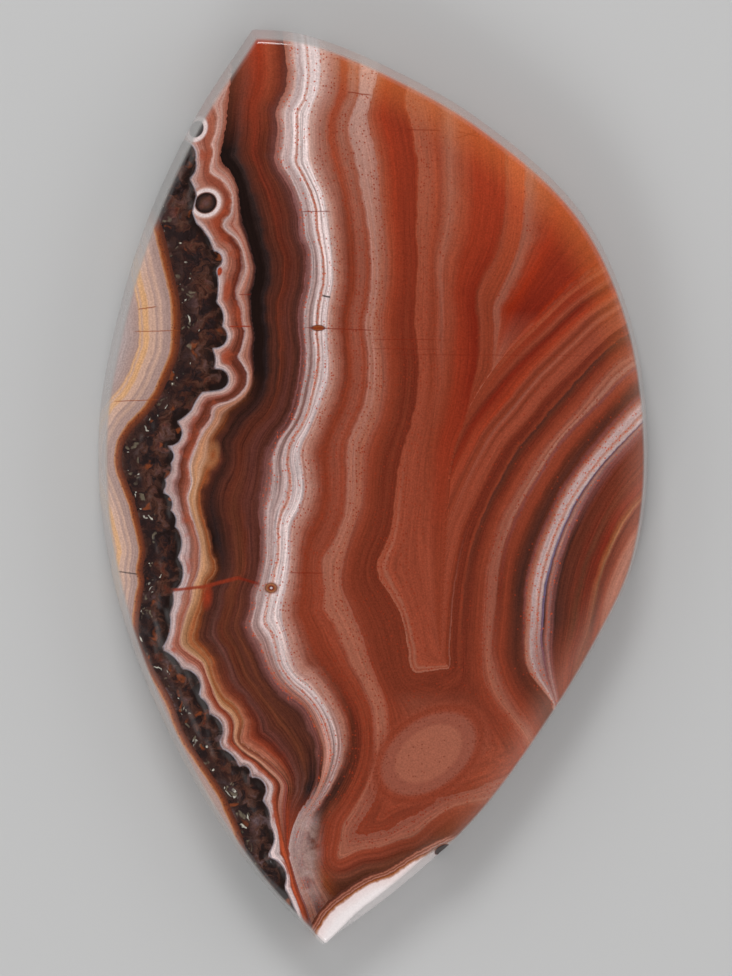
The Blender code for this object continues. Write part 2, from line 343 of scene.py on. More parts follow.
WHITES = {
    60: (
        (3, "terracotta"), (3.15, "rose"), (3.36, "blush"), (3.5, "milk"), (3.62, "ash"),
        (3.74, "chalk"), (3.88, "snow"), (3.98, "blush"), (4.12, "snow"), (4.33, "chalk"),
        (4.55, "snow"), (4.75, "chalk"), (4.9, "blush"), (5, "blush"),
    ),
    200: (
        (3, "mauve"), (3.24, "heather"), (3.33, "mist"), (3.45, "ash"), (3.56, "fog"), (3.65, "ash"),
        (3.76, "milk"), (3.87, "snow"), (3.95, "rose"), (4.04, "tan"), (4.12, "snow"), (4.24, "chalk"),
        (4.33, "ash"), (4.44, "snow"), (4.68, "chalk"), (4.88, "blush"), (5, "shell"),
    ),
    420: (
        (3, "mauve"), (3.12, "plum"), (3.28, "mauve"), (3.37, "ash"), (3.46, "fog"), (3.54, "slate"),
        (3.62, "wine"), (3.7, "fog"), (3.79, "ash"), (3.88, "mist"), (3.97, "rose"), (4.1, "shell"),
        (4.2, "milk"), (4.32, "ash"), (4.46, "milk"), (4.62, "milk"), (4.77, "ash"), (4.87, "shell"),
        (5, "rose"),
    ),
    500: (
        (3, "wine"), (3.26, "heather"), (3.37, "ash"), (3.53, "ash"), (3.62, "fog"), (3.74, "ash"),
        (3.87, "milk"), (3.96, "rose"), (4.05, "shell"), (4.14, "milk"), (4.33, "mist"),
        (4.47, "chalk"), (4.67, "chalk"), (4.8, "mist"), (4.92, "rose"), (5, "rose"),
    ),
    610: (
        (3, "wine"), (3.27, "heather"), (3.37, "ash"), (3.46, "fog"), (3.62, "fog"), (3.75, "mist"),
        (3.88, "milk"), (4.02, "shell"), (4.18, "chalk"), (4.3, "chalk"), (4.4, "mist"),
        (4.55, "chalk"), (4.72, "chalk"), (4.85, "milk"), (5, "mist"),
    ),
    690: (
        (3, "wine"), (3.22, "mauve"), (3.38, "terracotta"), (3.57, "heather"), (3.71, "rose"),
        (3.86, "mist"), (3.99, "rose"), (4.13, "milk"), (4.31, "ash"), (4.48, "chalk"), (4.66, "blush"),
        (4.86, "rose"), (5, "tan"),
    ),
    780: (
        (3, "wine"), (3.2, "mahogany"), (3.36, "coffee"), (3.5, "tan"), (3.68, "rose"), (3.94, "tan"),
        (4.1, "rose"), (4.3, "slate"), (4.42, "slate"), (4.55, "fog"), (4.75, "heather"), (4.92, "ash"),
        (5, "heather"),
    ),
    840: (
        (3, "rose"), (3.08, "ash"), (3.25, "mist"), (3.4, "ash"), (3.7, "fog"), (4.6, "fog"),
        (5, "heather"),
    ),
    900: ((3, "rose"), (3.2, "tan"), (4.1, "tan"), (4.5, "mauve"), (5, "plum")),
}
RUSTS = {
    80: (
        (5, "blush"), (5.2, "rose"), (5.35, "tan"), (5.5, "copper"), (5.62, "copper"),
        (5.7, "terracotta"), (5.8, "tan"), (5.93, "terracotta"), (6.03, "shell"), (6.8, "shell"),
        (7, "rose"),
    ),
    260: (
        (5, "shell"), (5.09, "tan"), (5.24, "clay"), (5.37, "garnet"), (5.5, "rust"), (5.64, "clay"),
        (5.76, "clay"), (5.87, "brick"), (5.95, "clay"), (6.03, "rose"), (6.2, "tan"), (6.38, "rose"),
        (6.5, "tan"), (6.75, "terracotta"), (7, "clay"),
    ),
    620: (
        (5, "shell"), (5.14, "rose"), (5.28, "clay"), (5.44, "rust"), (5.66, "rust"), (5.8, "brick"),
        (5.95, "brick"), (6.05, "terracotta"), (6.82, "terracotta"), (7, "clay"),
    ),
    720: (
        (5, "rose"), (5.1, "tan"), (5.18, "clay"), (5.26, "garnet"), (5.36, "mahogany"),
        (5.48, "cherry"), (5.66, "rust"), (5.88, "rust"), (5.96, "clay"), (6.06, "terracotta"),
        (6.6, "terracotta"), (7, "brick"),
    ),
    790: (
        (5, "fog"), (5.07, "rose"), (5.13, "plum"), (5.2, "coffee"), (5.29, "coffee"),
        (5.38, "mahogany"), (5.5, "mahogany"), (5.62, "rust"), (5.8, "rust"), (5.88, "garnet"),
        (5.97, "brick"), (6.06, "terracotta"), (6.3, "clay"), (7, "clay"),
    ),
    855: (
        (5, "heather"), (5.2, "plum"), (5.32, "sienna"), (5.48, "garnet"), (5.65, "rust"),
        (5.8, "brick"), (5.92, "rust"), (6.05, "terracotta"), (7, "clay"),
    ),
    895: ((5, "mauve"), (5.2, "tan"), (5.35, "amber"), (5.6, "sienna"), (6, "umber"), (7, "clay")),
}
FIRE = {
    130: (
        (7, "terracotta"), (7.18, "copper"), (7.38, "flame"), (7.64, "ember"), (7.93, "ember"),
        (8, "copper"),
    ),
    400: (
        (7, "clay"), (7.16, "brick"), (7.3, "rust"), (7.48, "garnet"), (7.62, "cherry"),
        (7.73, "garnet"), (7.85, "cherry"), (7.96, "cherry"), (8, "brick"),
    ),
    690: ((7, "rust"), (7.3, "garnet"), (8, "garnet")),
    740: ((7, "rust"), (7.2, "brick"), (7.5, "terracotta"), (8, "clay")),
}
OUTER_FIRE = {
    480: (
        (7, "clay"), (7.13, "brick"), (7.3, "rust"), (7.45, "cherry"), (7.58, "mahogany"),
        (7.67, "umber"), (7.73, "rust"), (7.83, "cherry"), (8, "cherry"),
    ),
    660: (
        (7, "brick"), (7.12, "rust"), (7.35, "garnet"), (7.6, "cherry"), (7.7, "rust"),
        (7.83, "cherry"), (8, "garnet"),
    ),
}
HEART = {
    190: (
        (8, "salmon"), (8.38, "salmon"), (8.75, "copper"), (8.9, "coral"), (9.02, "salmon"),
        (9.1, "terracotta"), (9.2, "salmon"), (9.33, "copper"), (9.52, "flame"), (9.97, "flame"),
        (10.04, "copper"), (10.4, "orange"), (10.9, "orange"), (11.02, "terracotta"), (11.14, "copper"),
        (11.32, "flame"), (12, "flame"),
    ),
    310: (
        (8, "coral"), (8.5, "coral"), (8.88, "rust"), (9, "brick"), (9.12, "clay"), (9.22, "coral"),
        (9.34, "brick"), (9.52, "ember"), (9.9, "blood"), (9.99, "garnet"), (10.06, "brick"),
        (10.4, "rust"), (10.88, "rust"), (11, "clay"), (11.12, "clay"), (11.22, "ember"),
        (11.35, "scarlet"), (11.56, "blood"), (11.85, "blood"), (11.93, "scarlet"), (12, "coral"),
    ),
    380: (
        (8, "coral"), (8.35, "coral"), (8.66, "rust"), (8.94, "brick"), (9.1, "coral"), (9.28, "rust"),
        (9.5, "ember"), (9.95, "blood"), (10.05, "rust"), (10.8, "rust"), (10.96, "brick"),
        (11.14, "salmon"), (11.55, "terracotta"), (12, "salmon"),
    ),
    440: ((8, "coral"), (8.34, "coral"), (8.65, "brick"), (9.1, "rust"), (9.5, "ember"), (12, "ember")),
    560: (
        (8, "salmon"), (8.1, "coral"), (8.16, "terracotta"), (8.24, "coral"), (8.45, "coral"),
        (8.8, "brick"), (9.3, "coral"), (9.7, "rust"), (12, "brick"),
    ),
    640: (
        (8, "terracotta"), (8.05, "terracotta"), (8.1, "coral"), (8.18, "terracotta"), (8.26, "coral"),
        (8.6, "brick"), (9.2, "coral"), (9.6, "rust"), (12, "brick"),
    ),
}
OUTER_HEART = {
    320: (
        (8, "coral"), (8.55, "coral"), (8.8, "brick"), (8.98, "rust"), (9.22, "salmon"), (9.44, "rust"),
        (9.64, "garnet"), (9.8, "coral"), (9.97, "copper"), (10.2, "flame"), (10.42, "ember"),
        (10.6, "blood"), (10.82, "cherry"), (10.92, "rust"), (11.05, "coral"), (11.3, "ember"),
        (11.6, "ember"), (11.72, "copper"), (11.84, "copper"), (12, "flame"),
    ),
    400: (
        (8, "cherry"), (8.1, "garnet"), (8.25, "coral"), (8.55, "coral"), (8.8, "brick"),
        (8.95, "garnet"), (9.1, "brick"), (9.26, "clay"), (9.42, "rust"), (9.6, "garnet"),
        (9.76, "brick"), (9.93, "flame"), (10.3, "ember"), (10.66, "blood"), (10.95, "cherry"),
        (11.1, "rust"), (11.5, "rust"), (12, "rust"),
    ),
    520: (
        (8, "cherry"), (8.12, "cherry"), (8.28, "rust"), (8.44, "brick"), (8.62, "coral"),
        (8.88, "brick"), (9.12, "coral"), (9.32, "coral"), (9.54, "rust"), (9.8, "garnet"),
        (9.98, "coral"), (10.25, "copper"), (10.5, "ember"), (10.82, "garnet"), (11, "rust"),
        (12, "ember"),
    ),
    640: (
        (8, "clay"), (8.05, "clay"), (8.1, "garnet"), (8.25, "rust"), (8.45, "brick"), (8.8, "coral"),
        (9.1, "brick"), (9.7, "rust"), (9.95, "coral"), (10.3, "brick"), (10.6, "garnet"), (11, "rust"),
        (12, "coral"),
    ),
}
OUTER_BANDS = {
    450: (
        (0, "clay"), (2.3, "rust"), (2.6, "garnet"), (2.9, "cherry"), (3.08, "raisin"), (3.3, "raisin"),
        (3.45, "mauve"), (3.57, "heather"), (3.7, "rose"), (3.83, "heather"), (3.94, "wine"),
        (4, "violet"),
    ),
    540: (
        (0, "clay"), (0.86, "tan"), (1.1, "terracotta"), (1.3, "rust"), (1.55, "garnet"),
        (1.77, "cherry"), (1.86, "bronze"), (1.95, "caramel"), (2.04, "amber"), (2.14, "blood"),
        (2.32, "cherry"), (2.45, "sienna"), (2.57, "cherry"), (2.76, "mahogany"), (2.96, "mahogany"),
        (3.1, "coffee"), (3.28, "plum"), (3.45, "mauve"), (3.6, "mauve"), (3.74, "rose"),
        (3.85, "heather"), (3.94, "wine"), (4, "violet"),
    ),
    620: (
        (0, "clay"), (0.9, "terracotta"), (1.2, "rust"), (1.5, "cherry"), (1.76, "mahogany"),
        (1.9, "sienna"), (2.02, "bronze"), (2.14, "garnet"), (2.3, "cherry"), (2.46, "sienna"),
        (2.62, "mahogany"), (2.88, "umber"), (3.04, "coffee"), (3.2, "wine"), (3.4, "wine"),
        (3.56, "heather"), (3.72, "clay"), (3.86, "plum"), (3.95, "ink"), (4, "violet"),
    ),
    680: (
        (0, "clay"), (1.9, "bronze"), (2.1, "cherry"), (2.4, "rust"), (2.9, "garnet"), (3.3, "raisin"),
        (3.55, "heather"), (3.8, "heather"), (4, "raisin"),
    ),
}
OUTER_WHITES = {
    470: (
        (4, "violet"), (4.06, "ash"), (4.16, "mist"), (4.27, "shell"), (4.36, "rose"), (4.45, "petal"),
        (4.55, "ash"), (4.67, "petal"), (4.8, "rose"), (4.95, "clay"), (5.04, "raisin"),
        (5.15, "mahogany"), (5.26, "umber"), (5.44, "mahogany"), (5.63, "rust"), (5.84, "brick"),
        (5.95, "raisin"), (6.04, "clay"), (6.16, "tan"), (6.36, "tan"), (6.5, "clay"),
        (6.88, "terracotta"), (7, "clay"),
    ),
    590: (
        (4, "violet"), (4.07, "violet"), (4.13, "ash"), (4.23, "petal"), (4.31, "rose"),
        (4.38, "shell"), (4.46, "petal"), (4.56, "ash"), (4.66, "ash"), (4.75, "rose"), (4.85, "tan"),
        (4.97, "terracotta"), (5.05, "raisin"), (5.14, "umber"), (5.25, "coffee"), (5.37, "umber"),
        (5.52, "mahogany"), (5.64, "garnet"), (5.75, "rust"), (5.85, "garnet"), (5.95, "cherry"),
        (6.06, "garnet"), (6.17, "clay"), (6.85, "clay"), (7, "brick"),
    ),
    680: (
        (4, "raisin"), (4.12, "mauve"), (4.3, "heather"), (4.5, "heather"), (4.65, "ash"),
        (4.78, "rose"), (4.93, "tan"), (5.03, "mahogany"), (5.3, "mahogany"), (5.58, "garnet"),
        (5.8, "rust"), (6.1, "clay"), (6.5, "terracotta"), (7, "brick"),
    ),
}
LEFT_WEDGE = (
    (0, "umber"), (3, "sienna"), (7, "amber"), (9, "honey"), (10.5, "fog"), (12, "lilac"),
    (17, "lilac"), (20, "peach"), (24, "lilac"), (26, "peach"), (31, "peach"), (33, "ochre"),
    (37, "ochre"), (39, "peach"), (41, "ochre"), (43, "lilac"), (60, "pearl"),
)
FOOT = (
    (0, "coral"), (4, "rust"), (7, "brick"), (12, "garnet"), (17, "bronze"), (24, "sienna"),
    (34, "mahogany"), (60, "umber"),
)
RIND = (
    (-9, "umber"), (-6, "umber"), (-5, "clay"), (-4.2, "tan"), (-3.4, "sienna"), (-2.4, "clay"),
    (-1.6, "rose"), (-0.8, "sienna"), (0, "amber"), (0.8, "caramel"), (1.8, "shell"), (3, "snow"),
    (12, "frost"), (40, "frost"),
)
# How thickly red specks lie in the bands, from none to one, at each place between the lines.
LEFT_SPECKS = (
    (3, 0), (3.2, 0.4), (3.25, 1), (3.31, 1), (3.36, 0.1), (3.86, 0.1), (3.92, 1), (4.06, 1),
    (4.12, 0.1), (4.46, 0.05), (4.5, 1), (4.57, 1), (4.61, 0.1), (4.8, 0.2), (4.93, 0.5), (5.05, 0.5),
    (5.2, 0.2), (5.66, 0.3), (5.8, 0.35), (5.97, 0.2), (6.05, 0.3), (6.5, 0.3), (6.62, 0.7),
    (6.8, 0.7), (7, 0.3), (7.2, 0.05), (8, 0.2), (8.15, 0.45), (8.4, 0.3), (9, 0.12), (9.35, 0.02),
)
RIGHT_SPECKS = (
    (3.2, 0), (3.38, 0.1), (3.44, 0.8), (3.52, 0.2), (3.64, 0.1), (3.7, 0.7), (3.78, 0.1),
    (4.2, 0.1), (4.28, 1), (4.38, 1), (4.44, 0.1), (4.56, 0.2), (4.62, 0.6), (4.75, 0.3), (4.9, 0.8),
    (5, 0.6), (5.1, 0.1), (5.9, 0.05), (6, 0.25), (6.5, 0.2), (6.9, 0.25), (7, 0.7), (7.1, 0.4),
    (7.2, 0.05), (8.3, 0.1), (8.6, 0.1), (9, 0.02),
)
# How strongly the finest growth lines show, and how far the bands ripple, at each place.
LEFT_FINENESS = (
    (0, 0.8), (1.9, 0.8), (2.05, 0.6), (2.35, 0.85), (3, 0.8), (3.25, 0.5), (3.4, 1), (4.7, 1),
    (5, 0.35), (5.3, 0.5), (6, 0.4), (12, 0.4),
)
RIGHT_FINENESS = ((0, 0.5), (2, 0.65), (4, 0.6), (4.2, 0.35), (7, 0.4), (12, 0.45))
LEFT_RIPPLE = ((0, 1), (0.9, 1), (1.2, 0.6), (2.1, 0.35), (2.8, 0.35), (3.1, 0.1), (8, 0.1), (9, 0))
# Where two lines of the right side wander between the traced ones: at each height, then the place.
PINK_LINE = ((425, 3.68), (450, 3.80), (475, 3.88), (500, 3.95), (530, 4.02))
PINK_LINE_STRAIGHT = 4.02
RED_ROW = ((420, 4.15), (470, 4.25), (530, 4.35), (650, 4.35), (690, 4.40))
RED_ROW_STRAIGHT = 4.35


def size(name, description, millimetres):
    """A length that a user can change."""
    return bpy.props.FloatProperty(
        name=name, description=description, default=millimetres * MM, min=0, precision=5, unit="LENGTH"
    )


def colour(name, description, red, green, blue):
    """A colour that a user can change, in linear light."""
    return bpy.props.FloatVectorProperty(
        name=name, description=description, default=(red, green, blue), min=0, max=1, subtype="COLOR"
    )


def share(name, description, value, low=0.0, high=1.0):
    """A plain number that a user can change."""
    return bpy.props.FloatProperty(name=name, description=description, default=value, min=low, max=high)


class AgateShape(bpy.types.PropertyGroup):
    """The sizes of the cut stone."""

    tip_rounding: size("Tip rounding", "How much of each side the tip's curve takes", 0.15)
    spacing: size("Point spacing", "How far apart the points of the outline lie", 0.9)
    back_bevel: size("Back bevel", "How far the back's edge is bevelled in", 0.4)
    girdle: size("Girdle height", "How high the widest line lies", 0.5)
    wall_top: size("Wall top", "How high the steep wall reaches", 4.0)
    wall_inset: size("Wall inset", "How far the wall leans in by its top", 0.33)
    arris: size("Arris radius", "The rounding between the wall and the dome", 0.35)
    rind_extra: size("Rind bevel", "How much further the wall leans in on the pale rind", 0.45)
    rind_fade: size("Rind bevel fade", "Over what length the rind's bevel runs out", 0.9)
    crown: size("Crown rise", "How far the dome rises over the arris", 1.35)
    softening: size("Softening reach", "How far the tips are evened out over the dome", 9.0)
    crystal_depth: size("Crystal depth", "How deep the hollows of the crystal vein are", 0.07)


class AgateColours(bpy.types.PropertyGroup):
    """The colours of the bands, the vein, the corner, the rind and the marks, with the painted glints,
    glow, reflection and shade.
    """

    snow: colour("Snow", "The brightest bands", 0.74, 0.60, 0.585)
    chalk: colour("Chalk", "Bright bands", 0.65, 0.52, 0.505)
    milk: colour("Milk", "Soft white bands", 0.58, 0.45, 0.44)
    mist: colour("Mist", "Pale grey-pink bands", 0.50, 0.375, 0.365)
    ash: colour("Ash", "Thin grey bands", 0.42, 0.295, 0.28)
    fog: colour("Fog", "Grey-pink bands", 0.33, 0.215, 0.20)
    slate: colour("Slate", "Grey-mauve bands", 0.22, 0.11, 0.09)
    blush: colour("Blush", "The brightest pink", 0.53, 0.32, 0.27)
    petal: colour("Petal", "Cool pale pink", 0.49, 0.325, 0.305)
    shell: colour("Shell", "Pale pink lines of the lace", 0.45, 0.25, 0.205)
    rose: colour("Rose", "Dusty pink", 0.38, 0.17, 0.13)
    heather: colour("Heather", "Dull violet-pink", 0.26, 0.125, 0.11)
    mauve: colour("Mauve", "Where the white bands begin", 0.19, 0.07, 0.065)
    raisin: colour("Raisin", "Red-violet brown", 0.20, 0.056, 0.046)
    wine: colour("Wine", "Dark red-violet", 0.14, 0.046, 0.038)
    dusk: colour("Dusk", "Thin grey-violet lines in the dark bands", 0.12, 0.042, 0.031)
    plum: colour("Plum", "Dark violet-brown", 0.10, 0.027, 0.019)
    violet: colour("Violet", "The thin blue-violet line", 0.125, 0.09, 0.155)
    wheat: colour("Wheat", "Cream lines of the lace", 0.45, 0.245, 0.15)
    honey: colour("Honey", "Honey-coloured lace", 0.41, 0.19, 0.09)
    caramel: colour("Caramel", "Darker honey-coloured lace", 0.30, 0.12, 0.052)
    amber: colour("Amber", "Orange-brown stain", 0.24, 0.055, 0.015)
    tan: colour("Tan", "The warm fade beside the white bands", 0.335, 0.13, 0.088)
    terracotta: colour("Terracotta", "Dusty pink-red bands", 0.32, 0.10, 0.06)
    salmon: colour("Salmon", "Warm pink-red bands", 0.315, 0.078, 0.041)
    clay: colour("Clay", "Dull brick pink", 0.26, 0.072, 0.044)
    coral: colour("Coral", "Warm brick pink", 0.265, 0.052, 0.025)
    brick: colour("Brick", "Brick red", 0.25, 0.047, 0.022)
    copper: colour("Copper", "Glowing red-brown", 0.31, 0.057, 0.024)
    orange: colour("Orange", "The glowing orange at the rim", 0.40, 0.066, 0.023)
    flame: colour("Flame", "Bright orange-red", 0.30, 0.034, 0.011)
    ember: colour("Ember", "Clear red", 0.24, 0.028, 0.010)
    scarlet: colour("Scarlet", "Pure clear red", 0.25, 0.019, 0.004)
    blood: colour("Blood", "Deep clear red", 0.175, 0.014, 0.005)
    rust: colour("Rust", "Rust red", 0.215, 0.036, 0.015)
    garnet: colour("Garnet", "Dark rust red", 0.165, 0.028, 0.012)
    cherry: colour("Cherry", "Dark red-brown", 0.14, 0.0205, 0.009)
    bronze: colour("Bronze", "Golden red-brown", 0.21, 0.054, 0.028)
    sienna: colour("Sienna", "Golden brown", 0.12, 0.031, 0.014)
    mahogany: colour("Mahogany", "Deep red-brown", 0.105, 0.0215, 0.010)
    umber: colour("Umber", "Dark brown", 0.078, 0.020, 0.012)
    coffee: colour("Coffee", "Very dark brown", 0.045, 0.014, 0.009)
    ink: colour("Ink", "Blue-black", 0.030, 0.015, 0.013)
    soot: colour("Soot", "Near black", 0.019, 0.010, 0.010)
    pitch: colour("Pitch", "The blackest band", 0.010, 0.004, 0.003)
    peach: colour("Peach", "The left corner's peach bands", 0.51, 0.32, 0.245)
    ochre: colour("Ochre", "The left corner's yellow bands", 0.58, 0.32, 0.16)
    lilac: colour("Lilac", "The left corner's grey-mauve bands", 0.345, 0.225, 0.195)
    haze: colour("Haze", "The vein's palest lumps", 0.15, 0.095, 0.09)
    # The next two are painted highlights: the glints of the vein's crystals.
    painted_dull_glint: colour("Moss", "The vein's dull glints", 0.16, 0.13, 0.09)
    painted_glint: colour("Glint", "The vein's bright glints", 0.5, 0.47, 0.40)
    bloom: colour("Bloom", "The vein's thin lavender edge", 0.36, 0.31, 0.34)
    # painted reflection: the grey that the wall shows where it mirrors the floor
    painted_reflection: colour("Veil", "The greyness of the wall", 0.40, 0.385, 0.37)
    frost: colour("Frost", "The rind's white face", 0.80, 0.73, 0.73)
    pearl: colour("Pearl", "The left corner's grey", 0.36, 0.28, 0.27)
    spark: colour("Spark", "The orange-red specks in the white bands", 0.46, 0.065, 0.022)
    glow: colour("Glow", "The light that the thin rim lets through", 0.20, 0.055, 0.012)
    crystal: colour("Crystal", "The vein's brown lumps", 0.075, 0.031, 0.020)
    smoke: colour("Smoke", "The vein's violet-grey lumps", 0.105, 0.064, 0.066)


class AgateFinish(bpy.types.PropertyGroup):
    """The polish, and how strongly the finest markings show."""

    roughness: share("Roughness", "Roughness of the polish", 0.09)
    fine_lines: share("Fine lines", "How strongly the finest growth lines show", 0.55)
    grain: share("Grain", "How strongly the fine grain shows", 0.16)
    specks: share("Specks", "How strongly the red specks show", 0.92)


class AgateStage(bpy.types.PropertyGroup):
    """The plain studio around the stone."""

    floor: colour("Floor", "The plain pale floor", 0.50, 0.50, 0.50)
    light: share("Light", "The power of both lamps together, in watts", 1.05, 0, 50)
    world: share("World", "How bright the room is", 1.05, 0, 5)


# The stone, kept here by the first operator for the next ones.
PIECES = {}


def select_nothing():
    """Leaves edit mode and deselects everything."""
    if bpy.context.object and bpy.context.object.mode != "OBJECT":
        bpy.ops.object.mode_set(mode="OBJECT")
    bpy.ops.object.select_all(action="DESELECT")


def curve_through(points, steps=24):
    """A smooth line through the points, from the first to the last."""
    points = np.array(points, float)
    ends = np.vstack([2 * points[0] - points[1], points, 2 * points[-1] - points[-2]])
    line = []
    for before, start, end, after in zip(ends, ends[1:], ends[2:], ends[3:]):
        span = math.dist(start, end)
        leave = (end - before) * span / (math.dist(start, before) + span)
        arrive = (after - start) * span / (math.dist(after, end) + span)
        for step in range(steps):
            t = step / steps
            line.append(
                start * (2 * t**3 - 3 * t**2 + 1)
                + leave * (t**3 - 2 * t**2 + t)
                + end * (3 * t**2 - 2 * t**3)
                + arrive * (t**3 - t**2)
            )
    line.append(points[-1])
    return np.array(line)


def evenly_spaced(line, trim, spacing):
    """Points about the spacing apart along the line, which loses the trim at each end."""
    travelled = np.concatenate([[0], np.cumsum(np.hypot(*np.diff(line, axis=0).T))])
    first, last = trim, travelled[-1] - trim
    wanted = np.linspace(first, last, round((last - first) / spacing) + 1)
    return np.column_stack([np.interp(wanted, travelled, line[:, axis]) for axis in (0, 1)])


def rounded_tip(start, tip, end, steps=3):
    """The points between two sides that meet at a tip, on a small curve."""
    shares = (np.arange(steps) + 1)[:, None] / (steps + 1)
    toward, away = start + (tip - start) * shares, tip + (end - tip) * shares
    return toward + (away - toward) * shares


def outline(shape):
    """The girdle in millimetres, anticlockwise from above, with its middle at the origin."""
    trim, spacing = shape.tip_rounding / MM, shape.spacing / MM
    upper, lower = np.array(UPPER_TIP), np.array(LOWER_TIP)
    left = evenly_spaced(curve_through([UPPER_TIP, *LEFT_SIDE, LOWER_TIP]), trim, spacing)
    right = evenly_spaced(curve_through([LOWER_TIP, *RIGHT_SIDE, UPPER_TIP]), trim, spacing)
    foot = rounded_tip(left[-1], lower, right[0])
    head = rounded_tip(right[-1], upper, left[0])
    points = np.vstack([left, foot, right, head])
    return points - (points.min(axis=0) + points.max(axis=0)) / 2


def softened(points, reach):
    """How far the edge is from the middle at each point, evened out so that the tips go."""
    apart = np.hypot(*(points[:, None] - points[None]).transpose(2, 0, 1))
    weights = np.exp(-((apart / reach) ** 2))
    return weights @ np.hypot(*points.T) / weights.sum(axis=1)


def wall_insets(points, shape):
    """How far the wall leans in by its top, which is further on the rind's long bevel."""
    start, end = np.array(RIND_BEVEL_START), np.array(RIND_BEVEL_END)
    fade = shape.rind_fade / MM
    length = math.dist(start, end)
    way = (end - start) / length
    along = (points - start) @ way
    across = np.hypot(*(points - start - along[:, None] * way).T)
    shares = np.clip(0.5 + np.minimum(along, length - along) / fade, 0, 1)
    shares = np.where(across > 2 * fade, 0, shares**2 * (3 - 2 * shares))
    return (shape.wall_inset + shape.rind_extra * shares) / MM


def edge_rings(points, shape, steps=3, hold=0.12):
    """The rings from the back's edge up over the girdle, the wall and the rounded arris."""
    reach = np.hypot(*points.T)
    insets = wall_insets(points, shape)
    bevel, girdle, top = shape.back_bevel / MM, shape.girdle / MM, shape.wall_top / MM
    radius, rise = shape.arris / MM, shape.crown / MM
    low = [(bevel, 0.0), (bevel * (1 - hold), girdle * hold), (bevel * hold, girdle * (1 - hold))]
    rings = [(np.full(len(points), inset), np.full(len(points), height)) for inset, height in low]
    for part in (hold / 2, 1 - hold):
        rings.append((insets * part, np.full(len(points), girdle + (top - girdle) * part)))
    steep = np.arctan2(top - girdle, insets)
    shallow = np.arctan(CROWN_POWER * rise / reach)
    for step in range(steps + 1):
        slope = steep + (shallow - steep) * step / steps
        inward = radius * (np.sin(steep) - np.sin(slope))
        upward = radius * (np.cos(slope) - np.cos(steep))
        rings.append((insets + inward, top + upward))
    way = points / reach[:, None]
    return [np.column_stack([way * (reach - inset)[:, None], height]) for inset, height in rings]


def crown_rings(points, rim, shape):
    """The rings of the dome inside its rim, each a smaller and rounder copy of the outline."""
    soft = softened(points, shape.softening / MM)
    reach = np.hypot(*rim[:, :2].T)
    rings = []
    for step in range(1, CROWN_RINGS):
        part = 1 - step / CROWN_RINGS
        keep = part**TIP_FADE_POWER
        radius = part * (reach * keep + soft * (1 - keep))
        level = rim[:, 2].mean() + (rim[:, 2] - rim[:, 2].mean()) * part**2
        height = level + shape.crown / MM * (1 - part**CROWN_POWER)
        rings.append(np.column_stack([rim[:, :2] / reach[:, None] * radius[:, None], height]))
    return rings


def lay_ring(stone, ring):
    """Puts each selected point at its own place on the ring."""
    bm = bmesh.from_edit_mesh(stone.data)
    place = bm.verts.layers.int["place"]
    for vertex in bm.verts:
        if vertex.select:
            vertex.co = ring[vertex[place]] * MM
    bmesh.update_edit_mesh(stone.data)


def model_stone(shape):
    """The cut stone: a circle drawn up ring by ring, smoothed, and closed at its back."""
    select_nothing()
    points = outline(shape)
    edge = edge_rings(points, shape)
    rings = [*edge, *crown_rings(points, edge[-1], shape)]
    bpy.ops.mesh.primitive_circle_add(vertices=len(points), radius=HIGH.y, fill_type="NOTHING")
    stone = bpy.context.object
    stone.name = stone.data.name = "agate_stone"
    places = stone.data.attributes.new("place", "INT", "POINT")
    places.data.foreach_set("value", np.arange(len(points), dtype=np.int32))
    bpy.ops.object.mode_set(mode="EDIT")
    bpy.ops.mesh.select_all(action="SELECT")
    lay_ring(stone, rings[0])
    for ring in rings[1:]:
        bpy.ops.mesh.extrude_region_move()
        lay_ring(stone, ring)
    bpy.ops.mesh.edge_face_add()
    bpy.ops.mesh.select_all(action="SELECT")
    bpy.ops.mesh.normals_make_consistent(inside=False)
    bpy.ops.object.mode_set(mode="OBJECT")
    stone.data.attributes.remove(stone.data.attributes["place"])
    smoothing = stone.modifiers.new("smoothing", "SUBSURF")
    smoothing.levels = smoothing.render_levels = SMOOTHING_LEVELS
    bpy.ops.object.modifier_apply(modifier=smoothing.name)
    close_back(stone)
    return stone


def close_back(stone):
    """Fills the open ring at the back with one flat face."""
    bpy.ops.object.mode_set(mode="EDIT")
    bpy.ops.mesh.select_all(action="DESELECT")
    bpy.ops.mesh.select_mode(type="EDGE")
    bpy.ops.mesh.select_non_manifold()
    bpy.ops.mesh.edge_face_add()
    bpy.ops.mesh.select_mode(type="VERT")
    bpy.ops.mesh.select_all(action="SELECT")
    bpy.ops.mesh.normals_make_consistent(inside=False)
    bpy.ops.object.mode_set(mode="OBJECT")


def chip_edge(stone):
    """Takes the small shell-shaped flake out of the right edge, above the rind."""
    bpy.ops.mesh.primitive_ico_sphere_add(
        subdivisions=3, radius=0.5 * MM, location=Vector(CHIP_PLACE) * MM, rotation=(0, 0, CHIP_TURN),
        scale=CHIP_SIZE,
    )
    flake = bpy.context.object
    for vertex in flake.data.vertices:
        vertex.co *= 1 + CHIP_UNEVENNESS * noise.noise(vertex.co / (CHIP_FACET * MM))
    cut = stone.modifiers.new("chip", "BOOLEAN")
    cut.operation = "DIFFERENCE"
    cut.solver = "EXACT"
    cut.object = flake
    select_nothing()
    bpy.context.view_layer.objects.active = stone
    stone.select_set(True)
    bpy.ops.object.modifier_apply(modifier=cut.name)
    bpy.data.objects.remove(flake)


def read_vectors(collection, name):
    """One vector for each point of a mesh, as rows."""
    values = np.empty(len(collection) * 3)
    collection.foreach_get(name, values)
    return values.reshape(-1, 3)


